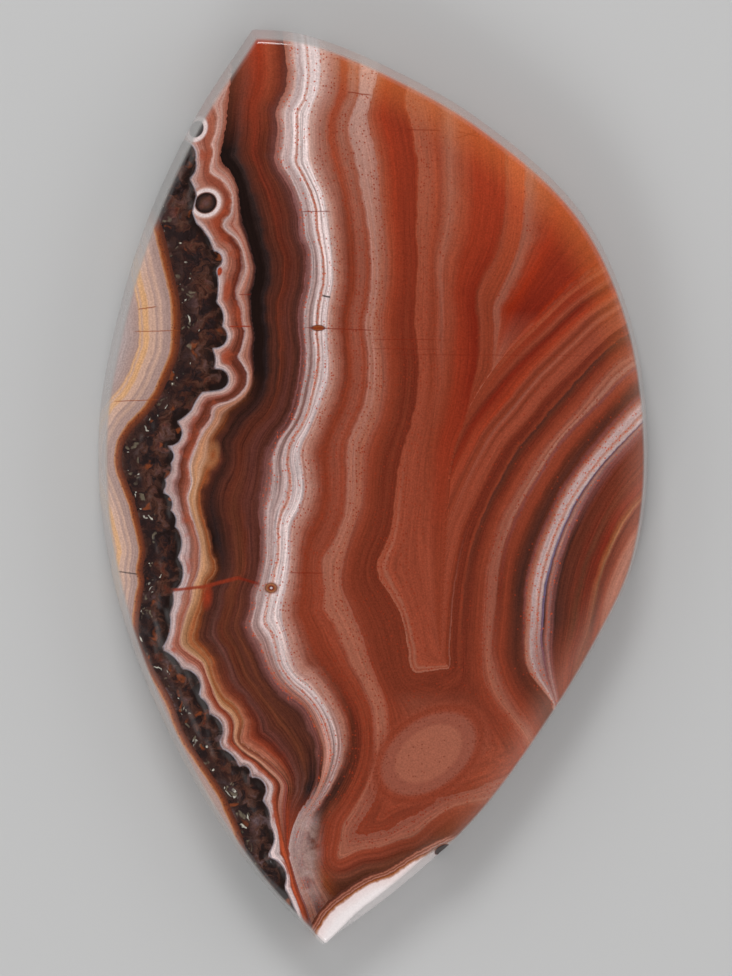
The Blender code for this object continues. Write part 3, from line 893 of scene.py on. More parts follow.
def sheet_places(stone):
    """Where each point of the stone lies on the sheet, seen along the lean of the bands."""
    co = read_vectors(stone.data.vertices, "co")
    depth = co[:, 2] - (LOW.z + HIGH.z) / 2
    across = (co[:, 0] + BAND_LEAN[0] * depth) / SHEET_UNIT + SHEET_MIDDLE[0]
    down = SHEET_MIDDLE[1] - (co[:, 1] + BAND_LEAN[1] * depth) / SHEET_UNIT
    return np.column_stack([across, down])


def scalloped(cusps, steps=8):
    """A line of round arcs between the cusps, each bulging to the right of the way down."""
    line = []
    for (x, y, bulge), (next_x, next_y, _) in zip(cusps, cusps[1:]):
        start, end = np.array((x, y), float), np.array((next_x, next_y), float)
        if abs(bulge) < LEAST_BULGE:
            line.append(start)
            continue
        chord = end - start
        length = math.hypot(*chord)
        outward = np.array((chord[1], -chord[0])) / length
        radius = (length**2 / 4 + bulge**2) / (2 * abs(bulge))
        centre = (start + end) / 2 - outward * np.sign(bulge) * (radius - abs(bulge))
        first = math.atan2(start[1] - centre[1], start[0] - centre[0])
        turn = math.atan2(end[1] - centre[1], end[0] - centre[0]) - first
        turn = (turn + math.pi) % (2 * math.pi) - math.pi
        if abs(bulge) > length / 2:
            turn -= math.copysign(2 * math.pi, turn)
        for step in range(steps):
            angle = first + turn * step / steps
            line.append(centre + radius * np.array((math.cos(angle), math.sin(angle))))
    line.append(np.array(cusps[-1][:2], float))
    return np.array(line)


def run_out(line, foot=True):
    """The line drawn on straight past the stone's edge, at its head and also at its foot."""
    head = (line[0] - line[2]) / math.dist(line[0], line[2]) * LINE_REACH
    longer = np.vstack([line[0] + head, line])
    if not foot:
        return longer
    tail = (line[-1] - line[-3]) / math.dist(line[-1], line[-3]) * LINE_REACH
    return np.vstack([longer, line[-1] + tail])


def signed_distance(places, line):
    """How far each place is from the line, positive on the right of the way down it."""
    starts, spans = line[:-1], np.diff(line, axis=0)
    lengths = np.maximum(np.hypot(*spans.T), 1e-6)
    normals = np.column_stack([spans[:, 1], -spans[:, 0]]) / lengths[:, None]
    corners = np.vstack([normals[:1], normals[:-1] + normals[1:], normals[-1:]])
    middles = starts + spans / 2
    result = np.empty(len(places))
    for first in range(0, len(places), BATCH):
        chunk = places[first : first + BATCH]
        square = (chunk**2).sum(1)[:, None] + (middles**2).sum(1) - 2 * chunk @ middles.T
        near = np.sqrt(np.maximum(square, 0)) - lengths / 2
        nearest = np.argpartition(near, TRIED - 1, axis=1)[:, :TRIED]
        best = np.full(len(chunk), 1e9)
        side = np.ones(len(chunk))
        for pick in nearest.T:
            along = ((chunk - starts[pick]) * spans[pick]).sum(1) / lengths[pick] ** 2
            offset = chunk - starts[pick] - spans[pick] * np.clip(along, 0, 1)[:, None]
            distance = np.hypot(*offset.T)
            normal = np.where((along <= 0)[:, None], corners[pick], normals[pick])
            normal = np.where((along >= 1)[:, None], corners[pick + 1], normal)
            closer = distance < best
            best = np.where(closer, distance, best)
            side = np.where(closer, np.where((offset * normal).sum(1) < 0, -1, 1), side)
        result[first : first + BATCH] = best * side
    return result


def between(near, far):
    """The share of the way from one line to the next."""
    near, far = np.abs(near), np.abs(far)
    return near / np.maximum(near + far, 1e-6)


def all_distances(places):
    """Every line's signed distance from each place, in sheet units."""
    lines = {
        "vein": run_out(scalloped(VEIN_SCALLOPS)),
        "seam_below": run_out(np.vstack([curve_through(SEAM, LINE_STEPS), SEAM_BELOW[1:]])),
    }
    rim_to_rim = {
        "lace_white": LACE_WHITE, "lace_edge": LACE_EDGE, "white_start": WHITE_START,
        "white_middle": WHITE_MIDDLE, "white_end": WHITE_END, "first_pink": FIRST_PINK,
        "first_pink_end": FIRST_PINK_END, "horseshoe": HORSESHOE, "rim_pink": RIM_PINK,
        "rim_orange": RIM_ORANGE, "outer_white_end": OUTER_WHITE_END,
        "outer_white_middle": OUTER_WHITE_MIDDLE, "outer_white_start": OUTER_WHITE_START,
        "outer_pink": OUTER_PINK, "outer_pink_start": OUTER_PINK_START,
        "vein_left": VEIN_LEFT, "rind": RIND_EDGE,
    }
    ending_inside = {
        "second_pink": SECOND_PINK, "dusty_red": DUSTY_RED, "bright_stripe": BRIGHT_STRIPE,
        "seam": SEAM, "seam_line": SEAM_LINE,
    }
    for name, points in rim_to_rim.items():
        lines[name] = run_out(curve_through(points, LINE_STEPS))
    for name, points in ending_inside.items():
        lines[name] = run_out(curve_through(points, LINE_STEPS), foot=False)
    return {name: signed_distance(places, line) for name, line in lines.items()}


def count_lines(d, names, first, start, side):
    """The band number at each place: whole on each line, and a share of the way between."""
    value = start
    for number, (name, after) in enumerate(zip(names, names[1:]), start=first):
        value = np.where(d[name] * side > 0, number + between(d[name], d[after]), value)
    return value


# The traced lines of both sides and of the heart, in the order in which their bands are counted.
LEFT_LINES = (
    "vein", "lace_white", "lace_edge", "white_start", "white_middle", "white_end", "first_pink",
    "first_pink_end",
)
RIGHT_LINES = (
    "rim_pink", "rim_orange", "outer_white_end", "outer_white_middle", "outer_white_start",
    "outer_pink", "outer_pink_start",
)
INNER_LINES = ("horseshoe", "second_pink", "dusty_red", "bright_stripe", "seam")
# The band numbers where the core, the heart inside it and the seam's own band start.
CORE_START = 7
HEART_START = 8
SEAM_START = 11
# The width of the right side's first band, and the least width that the heart's bands are spread over.
RIM_WIDTH = 30
HEART_WIDTH = 45
# The band numbers between which the right side's two wandering lines lie.
WANDER_START = 3.0
WANDER_END = 5.0


def band_numbers(d):
    """One number for the whole face, counted inwards from both sides to the seam."""
    left = count_lines(d, LEFT_LINES, 0, np.zeros(len(d["vein"])), 1)
    rim = np.clip(1 - np.abs(d["rim_pink"]) / RIM_WIDTH, 0, 1)
    right = count_lines(d, RIGHT_LINES, 1, rim, -1)
    edge = np.minimum(np.abs(d["first_pink_end"]), np.abs(d["outer_pink_start"]))
    core = CORE_START + between(edge, d["horseshoe"])
    inner_left = count_lines(d, INNER_LINES, HEART_START, core, 1)
    width = np.maximum(np.abs(d["horseshoe"]) + np.abs(d["seam_line"]), HEART_WIDTH)
    inner_right = np.where(
        d["seam_line"] > 0,
        HEART_START + (SEAM_START - HEART_START) * np.abs(d["horseshoe"]) / width,
        SEAM_START + between(d["seam_line"], d["seam"]),
    )
    band = np.where(d["first_pink_end"] > 0, core, left)
    band = np.where(d["outer_pink_start"] > 0, right, band)
    return np.where(d["horseshoe"] > 0, np.where(d["seam"] > 0, inner_right, inner_left), band)


def write_attribute(stone, name, values):
    """Keeps one number for each point of the stone, for its material to read."""
    attribute = stone.data.attributes.new(name, "FLOAT", "POINT")
    attribute.data.foreach_set("value", np.asarray(values, np.float32))


def straightened(band, height):
    """The band number with the two wandering lines of the right side moved to their usual places."""
    first, second = (np.interp(height, *zip(*line)) for line in (PINK_LINE, RED_ROW))
    knots = (np.full(len(band), WANDER_START), first, second, np.full(len(band), WANDER_END))
    places = (WANDER_START, PINK_LINE_STRAIGHT, RED_ROW_STRAIGHT, WANDER_END)
    result = band
    for low, high, start, end in zip(knots, knots[1:], places, places[1:]):
        way = (band - low) / np.maximum(high - low, 1e-6)
        result = np.where((band >= low) & (band <= high), start + (end - start) * way, result)
    return result


def trace_bands(stone):
    """Writes the band number and the distances that the material needs."""
    places = sheet_places(stone)
    d = all_distances(places)
    band = band_numbers(d)
    outer = (d["outer_pink_start"] > 0) & (band > WANDER_START) & (band < WANDER_END)
    band = np.where(outer, straightened(band, places[:, 1]), band)
    starts = np.concatenate([[0], np.cumsum(USUAL_WIDTHS)])
    co = read_vectors(stone.data.vertices, "co")
    normals = read_vectors(stone.data.vertices, "normal")
    girdle = outline(bpy.context.scene.agate_shape) * MM / SHEET_UNIT
    closed = np.vstack([girdle, girdle[:1]])
    written = {
        "band": band,
        "layer": np.interp(band, np.arange(len(starts)), starts),
        "across": places[:, 0],
        "height": places[:, 1],
        "outer": d["outer_pink_start"],
        "seam": d["seam_below"],
        "vein": d["vein"],
        "vein_share": between(d["vein"], d["vein_left"]),
        "wedge": -d["vein_left"],
        "rind": -d["rind"],
        "deep": co[:, 2] / SHEET_UNIT,
        "rim": np.abs(signed_distance(co[:, :2] / SHEET_UNIT, closed)),
        "wall": np.clip((WALL_START - normals[:, 2]) / WALL_FADE, 0, 1),
        "foot": -d["first_pink"],
    }
    for name, values in written.items():
        write_attribute(stone, name, values)
    return d


def sink_crystals(stone, d, shape):
    """Sinks rounded hollows into the crystal vein, deepest along its open middle."""
    vertices = stone.data.vertices
    near, far = CRYSTAL_EDGES
    for index in np.flatnonzero((d["vein"] < 0) & (d["vein_left"] > 0)):
        vertex = vertices[index]
        if vertex.co.z < shape.wall_top:
            continue
        edge = min(1.0, -d["vein"][index] / near, d["vein_left"][index] / far)
        distances, _ = noise.voronoi(vertex.co / (CRYSTAL_SIZE * MM))
        bubble = min(1.0, distances[0] / CRYSTAL_ROUNDING) ** 2
        vertex.co.z -= shape.crystal_depth * edge * (CRYSTAL_LEAST + (1 - CRYSTAL_LEAST) * bubble)


class Recipe:
    """Adds nodes to a tree and links them, so that a material reads as a list of steps."""

    def __init__(self, tree):
        self.tree = tree

    def node(self, kind, values=(), **settings):
        made = self.tree.nodes.new("ShaderNode" + kind)
        for name, value in settings.items():
            setattr(made, name, value)
        for socket, value in dict(values).items():
            self.put(made.inputs[socket], value)
        return made

    def put(self, socket, value):
        if isinstance(value, bpy.types.NodeSocket):
            self.tree.links.new(value, socket)
        else:
            socket.default_value = value

    def attribute(self, name):
        return self.node("Attribute", attribute_name=name).outputs["Fac"]

    def math(self, operation, *values, clamp=False):
        made = self.node("Math", dict(enumerate(values)), operation=operation, use_clamp=clamp)
        return made.outputs[0]

    def times(self, result, *others):
        for value in others:
            result = self.math("MULTIPLY", result, value)
        return result

    def between(self, value, low, high, new_low=0.0, new_high=1.0, smooth=False):
        made = self.node(
            "MapRange",
            {"Value": value, "From Min": low, "From Max": high, "To Min": new_low, "To Max": new_high},
            interpolation_type="SMOOTHSTEP" if smooth else "LINEAR",
        )
        return made.outputs["Result"]

    def mix(self, factor, first, second, blend="MIX"):
        made = self.node("Mix", data_type="RGBA", blend_type=blend)
        self.put(made.inputs[0], factor)
        self.put(made.inputs[6], first)
        self.put(made.inputs[7], second)
        return made.outputs[2]

    def vector(self, x, y, z=0.0):
        return self.node("CombineXYZ", {"X": x, "Y": y, "Z": z}).outputs[0]

    def noise(self, vector, scale, detail=2.0, roughness=0.5):
        made = self.node(
            "TexNoise", {"Vector": vector, "Scale": scale, "Detail": detail, "Roughness": roughness}
        )
        return made.outputs["Fac"]

    def ramp(self, value, stops):
        """A colour ramp over the stops' own span; each stop is a place and a colour."""
        low, high = stops[0][0], stops[-1][0]
        made = self.node("ValToRGB", {"Fac": self.between(value, low, high)})
        elements = made.color_ramp.elements
        for number, (place, shade) in enumerate(stops):
            position = (place - low) / (high - low)
            element = elements[number] if number < 2 else elements.new(position)
            element.position = position
            element.color = (*shade, 1) if hasattr(shade, "__len__") else (shade, shade, shade, 1)
        return made.outputs["Color"]


def named(colours, stops):
    """The stops with the colours themselves in place of their names."""
    return [(place, tuple(getattr(colours, name)), *cover) for place, name, *cover in stops]


def banded(recipe, name, colours, band, height, stations):
    """The colour along the bands, blended between ramps at several heights, in a group of its own."""
    group = bpy.data.node_groups.new(name, "ShaderNodeTree")
    for socket in ("Band", "Height"):
        group.interface.new_socket(name=socket, in_out="INPUT", socket_type="NodeSocketFloat")
    group.interface.new_socket(name="Color", in_out="OUTPUT", socket_type="NodeSocketColor")
    inner = Recipe(group)
    given = group.nodes.new("NodeGroupInput").outputs
    result = before = None
    for station, stops in sorted(stations.items()):
        colour_here = inner.ramp(given["Band"], named(colours, stops))
        if result is None:
            result = colour_here
        else:
            result = inner.mix(inner.between(given["Height"], before, station), result, colour_here)
        before = station
    inner.put(group.nodes.new("NodeGroupOutput").inputs["Color"], result)
    return recipe.node("Group", {"Band": band, "Height": height}, node_tree=group).outputs["Color"]


# A scale so large that the depth doesn't count.
FLATTENING = 1e6
# The share of a streak where its ends and its sides start to fade, and of a speck where its edge does.
STREAK_ENDS = 0.7
STREAK_SIDES = 0.2
SPECK_EDGE = 0.4
# A noise's usual span.
NOISE_SPAN = (0.3, 0.7)


def flattened(recipe, sheet, middle, radii, turn):
    """The place on the sheet as seen from a marking's middle, where its edge is at one."""
    made = recipe.node(
        "Mapping",
        {
            "Vector": sheet, "Location": (*middle, 0), "Rotation": (0, 0, turn),
            "Scale": (*radii, FLATTENING),
        },
        vector_type="TEXTURE",
    )
    return made.outputs[0]


def oval(recipe, sheet, middle, radii, turn):
    """How far each place is from an oval's middle, where its edge is at one."""
    flat = flattened(recipe, sheet, middle, radii, math.radians(turn))
    return recipe.node("VectorMath", {0: flat}, operation="LENGTH").outputs["Value"]


def spot(recipe, sheet, below, place, rings):
    """One oval marking laid over the colour below, given by its rings from the middle outwards."""
    radius = oval(recipe, sheet, *place)
    shades = recipe.ramp(radius, [(edge, shade) for edge, shade, _ in rings])
    cover = recipe.ramp(radius, [(edge, strength) for edge, _, strength in rings])
    inside = recipe.math("LESS_THAN", radius, rings[-1][0])
    return recipe.mix(recipe.times(cover, inside), below, shades)


def streak(recipe, sheet, below, start, end, width, shade, strength):
    """One thin straight marking laid over the colour below, fading towards its ends."""
    (x0, y0), (x1, y1) = start, end
    middle, radii = ((x0 + x1) / 2, (y0 + y1) / 2), (math.dist(start, end) / 2, width / 2)
    flat = flattened(recipe, sheet, middle, radii, math.atan2(y1 - y0, x1 - x0))
    parts = recipe.node("SeparateXYZ", {"Vector": flat}).outputs
    along = recipe.between(recipe.math("ABSOLUTE", parts[0]), 1, STREAK_ENDS, 0, strength, smooth=True)
    across = recipe.between(recipe.math("ABSOLUTE", parts[1]), 1, STREAK_SIDES, smooth=True)
    return recipe.mix(recipe.times(along, across), below, (*shade, 1))


def specks(recipe, sheet, below, density, shade, cell, radius, strength):
    """Small dots of one shade; the density says how many of them show."""
    made = recipe.node("TexVoronoi", {"Vector": sheet, "Scale": 1 / cell})
    dot = recipe.between(made.outputs["Distance"], radius, radius * SPECK_EDGE)
    chance = recipe.node("SeparateColor", {"Color": made.outputs["Color"]}).outputs[0]
    shown = recipe.math("LESS_THAN", chance, density)
    if not isinstance(shade, bpy.types.NodeSocket):
        shade = (*shade, 1)
    return recipe.mix(recipe.times(dot, shown, strength), below, shade)


def shaded(recipe, below, noise_here, strength):
    """The colour below, made darker and lighter by a noise."""
    swing = recipe.between(noise_here, *NOISE_SPAN, -1.0, 1.0)
    return recipe.mix(1.0, below, recipe.math("MULTIPLY_ADD", swing, strength, 1.0), "MULTIPLY")


# The tables of each side's bands after its first one, and the band number where each starts.
LEFT_ZONES = (
    (2, "dark", DARK), (3, "whites", WHITES), (5, "rusts", RUSTS), (CORE_START, "fire", FIRE),
    (HEART_START, "heart", HEART),
)
RIGHT_ZONES = (
    (4, "outer whites", OUTER_WHITES), (CORE_START, "outer fire", OUTER_FIRE),
    (HEART_START, "outer heart", OUTER_HEART),
)
# How far the bands waver, and the left ones ripple, in shares of a band.
WAVER = 0.12
WAVER_SCALE = 0.09
RIPPLE = 0.3
RIPPLE_ACROSS = 1.5
RIPPLE_ALONG = 0.07
# How softly the two sides blend into each other below the seam's foot.
SEAM_BLEND = 40
# The growth lines: scale across and along the bands, the right side's shift, strength at head and foot.
GROWTH_SCALE = 0.5
GROWTH_ALONG = 0.02
RIGHT_SHIFT = 9.0
GROWTH_HEAD = (60, 140, 0.3)
GROWTH_FOOT = (700, 780, 1.7)
# The specks' cells and radius, and the bands over which they turn from orange-red to red.
SPECK_CELL = 2.8
SPECK_RADIUS = 0.43
SPECK_TURN = (4.6, 5.2)
# How far the lace's orange stains reach across it, the scale of their patches and their strength.
STAIN_REACH = ((0.1, 0.0), (0.25, 1.0), (0.8, 1.0), (0.95, 0.0))
STAIN_SCALE = 0.035
STAIN_STRENGTH = 0.75


def one_side(r, colours, band, height, name, stations, zones):
    """The bands of one side, from its first table on to its last."""
    result = banded(r, name, colours, band, height, stations)
    for start, name, stations in zones:
        past = r.math("GREATER_THAN", band, start)
        result = r.mix(past, result, banded(r, name, colours, band, height, stations))
    return result


def wavering(r, sheet, height, outer):
    """The band number, with a soft waver and with the left bands' ripple."""
    steady = r.attribute("band")
    waver = r.times(r.math("SUBTRACT", r.noise(sheet, WAVER_SCALE), 0.5), WAVER)
    place = r.vector(r.times(steady, RIPPLE_ACROSS), r.times(height, RIPPLE_ALONG))
    ripple = r.math("SUBTRACT", r.noise(place, scale=1.0, detail=3.0, roughness=0.6), 0.5)
    ripple = r.times(ripple, r.ramp(steady, LEFT_RIPPLE), r.math("LESS_THAN", outer, 0.0), RIPPLE)
    return r.math("ADD", r.math("ADD", steady, waver), ripple)


def growth_lines(r, finish, band, height, side, below):
    """The finest growth lines, which follow the bands."""
    place = r.vector(r.attribute("layer"), r.times(height, GROWTH_ALONG), r.times(side, RIGHT_SHIFT))
    growth = r.noise(place, GROWTH_SCALE, detail=4.0, roughness=0.75)
    strength = r.mix(side, r.ramp(band, LEFT_FINENESS), r.ramp(band, RIGHT_FINENESS))
    start, end, faint = GROWTH_HEAD
    full = finish.fine_lines
    strength = r.times(strength, r.between(height, start, end, full * faint, full))
    start, end, strong = GROWTH_FOOT
    strength = r.times(strength, r.between(height, start, end, 1.0, strong))
    return shaded(r, below, growth, strength)


def lace_stains(r, colours, sheet, band, outer, below):
    """The orange stains in the lace along the vein."""
    patches = r.noise(sheet, STAIN_SCALE, detail=3.0, roughness=0.6)
    stain = r.times(
        r.ramp(band, STAIN_REACH),
        r.math("LESS_THAN", band, 1.0),
        r.between(patches, 0.5, 0.62, 0.0, STAIN_STRENGTH),
        r.math("LESS_THAN", outer, 0.0),
    )
    return r.mix(stain, below, (*colours.copper, 1))


def band_colours(r, colours, finish, sheet):
    """The bands, from ramps across them that change from the top of the stone to its foot."""
    height, outer, seam = (r.attribute(name) for name in ("height", "outer", "seam"))
    band = wavering(r, sheet, height, outer)
    left = one_side(r, colours, band, height, "lace", LACE, LEFT_ZONES)
    right = one_side(r, colours, band, height, "outer bands", OUTER_BANDS, RIGHT_ZONES)
    in_core = r.mix(
        r.math("GREATER_THAN", band, HEART_START),
        r.between(seam, -SEAM_BLEND, SEAM_BLEND, smooth=True),
        r.math("GREATER_THAN", seam, 0.0),
    )
    side = r.mix(r.math("GREATER_THAN", band, CORE_START), r.math("GREATER_THAN", outer, 0.0), in_core)
    result = growth_lines(r, finish, band, height, side, r.mix(side, left, right))
    density = r.mix(side, r.ramp(band, LEFT_SPECKS), r.ramp(band, RIGHT_SPECKS))
    shade = r.mix(r.between(band, *SPECK_TURN), (*colours.spark, 1), (*colours.ember, 1))
    result = specks(r, sheet, result, density, shade, SPECK_CELL, SPECK_RADIUS, finish.specks)
    return lace_stains(r, colours, sheet, band, outer, result)


# The vein's lumps: how far they are swirled, their scales, their grain, and colours from dark to pale.
SWIRL = 26.0
SWIRL_SCALE = 0.07
LUMP_SCALE = 0.075
LUMP_GRAIN_SCALE = 0.4
LUMP_GRAIN = 0.45
BROWN_LUMPS = (
    (0.3, "pitch"), (0.42, "soot"), (0.5, "coffee"), (0.57, "crystal"), (0.65, "umber"),
    (0.78, "sienna"),
)
GREY_LUMPS = ((0.3, "pitch"), (0.42, "soot"), (0.52, "crystal"), (0.63, "smoke"), (0.78, "haze"))
# The heights over which the grey lumps gain on the brown ones.
GREY_HEIGHTS = (560, 680)
# The pits' distance in from the vein's scalloped edge, and the width of its pale edge; the pits' black
# is partly painted shade of hollows.
PITS_NEAR = (0.8, 2.2)
PITS_FAR = (12.0, 5.0)
PALE_EDGE = (1.7, 0.3)


def vein_colours(r, colours, sheet):
    """The crystal vein: soft brown lumps, black crescents along its edges that are partly painted shade
    of hollows, and a few painted glints.
    """
    share_across, inside = r.attribute("vein_share"), r.times(r.attribute("vein"), -1.0)
    swirl = r.node("TexNoise", {"Vector": sheet, "Scale": SWIRL_SCALE, "Detail": 2.0}).outputs["Color"]
    moved = r.node("VectorMath", {0: swirl, 1: (SWIRL, SWIRL, 0.0), 2: sheet}, operation="MULTIPLY_ADD")
    broken = moved.outputs[0]
    lumps = r.noise(broken, LUMP_SCALE, detail=4.0, roughness=0.6)
    brown = r.ramp(lumps, named(colours, BROWN_LUMPS))
    grey = r.ramp(lumps, named(colours, GREY_LUMPS))
    patches = r.between(r.noise(sheet, scale=0.04), 0.42, 0.6)
    greyer = r.between(r.attribute("height"), *GREY_HEIGHTS, 0.6, 1.0)
    result = r.mix(r.times(patches, greyer), brown, grey)
    grain = r.noise(broken, LUMP_GRAIN_SCALE, detail=3.0, roughness=0.7)
    result = shaded(r, result, grain, LUMP_GRAIN)

    # the dark mossy strip along the left edge and the black pits along the scalloped one, both partly
    # painted shade of hollows
    mossy = r.times(r.between(share_across, 0.5, 0.72), r.between(share_across, 1.0, 0.92))
    result = r.mix(r.times(mossy, 0.7), result, (*colours.soot, 1))
    pits = r.times(r.between(inside, *PITS_NEAR), r.between(inside, *PITS_FAR))
    pits = r.times(pits, r.between(lumps, 0.62, 0.5, 0.35, 0.95))
    result = r.mix(pits, result, (*colours.pitch, 1))

    # painted glints and rust specks, then the pale edge
    for density, shade, cell, radius, strength in (
        (r.times(mossy, 0.2), colours.painted_dull_glint, 5.0, 0.5, 0.7),
        (r.times(mossy, 0.1), colours.painted_glint, 4.0, 0.45, 0.9),
        (0.1, colours.amber, 8.0, 0.5, 0.6),
    ):
        result = specks(r, broken, result, density, shade, cell, radius, strength)
    strength = r.between(r.noise(sheet, scale=0.06), 0.4, 0.6, 0.45, 1.0)
    return r.mix(r.times(r.between(inside, *PALE_EDGE), strength), result, (*colours.bloom, 1))


# The corner's bands: how much they crowd together further down, how far they waver, and their lines.
WEDGE_SPREAD = (320, 540, 1.0, 1.33)
WEDGE_WAVER = 1.2
WEDGE_LINES = 0.15


def wedge_colours(r, colours, sheet):
    """The bands of the left corner, which follow the vein's other edge."""
    away, height = r.attribute("wedge"), r.attribute("height")
    waver = r.between(r.noise(sheet, scale=0.12), 0.0, 1.0, -WEDGE_WAVER, WEDGE_WAVER)
    place = r.math("ADD", r.times(away, r.between(height, *WEDGE_SPREAD)), waver)
    result = r.ramp(place, named(colours, LEFT_WEDGE))
    fine = r.noise(r.vector(place, r.times(height, 0.01)), scale=0.55, detail=3.0, roughness=0.7)
    result = shaded(r, result, fine, WEDGE_LINES)
    gritty = r.times(r.between(place, 10, 6), 0.6)
    return specks(r, sheet, result, gritty, colours.umber, cell=2.6, radius=0.5, strength=0.7)


# Where the foot's dark layers begin, going right and going down, and where brick red takes over.
FOOT_SIDE = (322, 345)
FOOT_TOP = (800, 815)
FOOT_END = (425, 465)
FOOT_LINES = 0.2
# The cloud's top, foot and right side, the band number at its left, and its colours.
CLOUD_TOP = (800, 830)
CLOUD_FOOT = (925, 895)
CLOUD_SIDE = (328, 306)
CLOUD_START = (2.95, 3.1)
CLOUD = ((0.3, "heather"), (0.45, "fog"), (0.55, "lilac"), (0.7, "ash"))
# The rind: how ragged its edge is, the dark over it, where its colours start, and its upper end.
RIND_RAGGED = 1.5
RIND_SHADE = (-30, -8, 1.0, 0.5)
RIND_START = -8.0
RIND_TOP = (835, 840)


def foot_colours(r, colours, sheet, below):
    """The dark layers under the lowest pink band, and the pale rind below them."""
    away, across, height = r.attribute("foot"), r.attribute("across"), r.attribute("height")
    layers = r.ramp(away, named(colours, FOOT))
    fine = r.noise(r.vector(away, r.times(across, 0.02)), scale=0.45, detail=3.0, roughness=0.7)
    layers = shaded(r, layers, fine, FOOT_LINES)
    layers = r.mix(r.between(across, *FOOT_END), layers, (*colours.brick, 1))
    inside = r.times(
        r.between(across, *FOOT_SIDE, smooth=True),
        r.between(height, *FOOT_TOP),
        r.math("GREATER_THAN", away, 0.0),
    )
    result = r.mix(inside, below, layers)

    # the pale cloud over the vein's lower end
    lumpy = r.noise(sheet, scale=0.07, detail=3.0, roughness=0.55)
    cloud = r.times(
        r.between(height, *CLOUD_TOP, smooth=True),
        r.between(height, *CLOUD_FOOT, smooth=True),
        r.between(across, *CLOUD_SIDE, smooth=True),
        r.between(lumpy, 0.35, 0.55, 0.15, 0.8),
        r.between(r.attribute("band"), *CLOUD_START),
    )
    result = r.mix(cloud, result, r.ramp(lumpy, named(colours, CLOUD)))

    # the rind
    ragged = r.between(r.noise(sheet, scale=0.15), 0.0, 1.0, -RIND_RAGGED, RIND_RAGGED)
    rind = r.math("ADD", r.attribute("rind"), ragged)
    result = r.mix(1.0, result, r.between(rind, *RIND_SHADE), "MULTIPLY")
    shown = r.times(r.math("GREATER_THAN", rind, RIND_START), r.between(height, *RIND_TOP))
    return r.mix(shown, result, r.ramp(rind, named(colours, RIND)))


# The oval eye's middle, its half widths and its turn, and how thickly specks lie from its middle out.
OVAL_EYE = ((429, 754), (60, 39), -36)
OVAL_SPECKS = ((0, 0.05), (0.6, 0.08), (0.8, 0.2), (0.88, 0.9), (1, 0.8), (1.12, 0.3), (1.25, 0))
# The round and oval eyes: middle, half widths, turn, then rings of place, colour and cover.
EYES = (
    ((205.5, 203), (11.5, 10.5), -30, (
        (0, "smoke", 1), (0.4, "crystal", 1), (0.65, "ink", 1), (0.9, "pitch", 1),
        (0.99, "slate", 1), (1.06, "chalk", 1), (1.28, "chalk", 1), (1.42, "shell", 0.9),
        (1.6, "tan", 0.6), (1.75, "tan", 0),
    )),
    ((196, 129), (7, 9), 25, (
        (0, "ink", 1), (0.9, "soot", 1), (1.05, "chalk", 1), (1.4, "chalk", 1), (1.7, "rose", 0),
    )),
    ((271.5, 588), (6.2, 5.2), 0, (
        (0, "milk", 1), (0.16, "milk", 1), (0.28, "umber", 1), (0.45, "rust", 1),
        (0.75, "caramel", 1), (0.95, "sienna", 0.9), (1.1, "tan", 0.6), (1.35, "tan", 0),
    )),
    ((318, 328), (8, 3.6), 0, (
        (0, "amber", 1), (0.6, "amber", 1), (0.8, "umber", 0.9), (1, "umber", 0),
    )),
    (*OVAL_EYE, (
        (0, "terracotta", 0.95), (0.58, "terracotta", 0.95), (0.66, "clay", 1), (0.84, "clay", 1),
        (0.92, "brick", 0.9), (1, "rust", 0.8), (1.1, "brick", 0.4), (1.2, "garnet", 0.25),
        (1.35, "garnet", 0),
    )),
    ((219, 271.5), (3.6, 5.5), 15, ((0, "orange", 1), (0.6, "flame", 1), (1, "flame", 0))),
    ((227, 291), (5, 15), 8, ((0, "copper", 0.8), (0.5, "copper", 0.7), (1, "copper", 0))),
    ((213, 455), (8, 17), 12, ((0, "amber", 0.9), (0.5, "caramel", 0.7), (1, "caramel", 0))),
    ((207.5, 597), (7, 16), 5, ((0, "flame", 0.9), (0.4, "ember", 0.8), (1, "ember", 0))),
)
# The chip's dark inside in the same way, which is painted shade in its hollow, and its roughness.
CHIP_MARK = ((443, 850.5), (9.5, 5), -30)
CHIP_SHADE_RINGS = ((0, "ink", 1), (0.7, "ink", 1), (0.85, "umber", 1), (1, "umber", 0))
CHIP_DULLNESS = ((0, 0.8, 1), (0.85, 0.8, 1), (1, 0.8, 0))
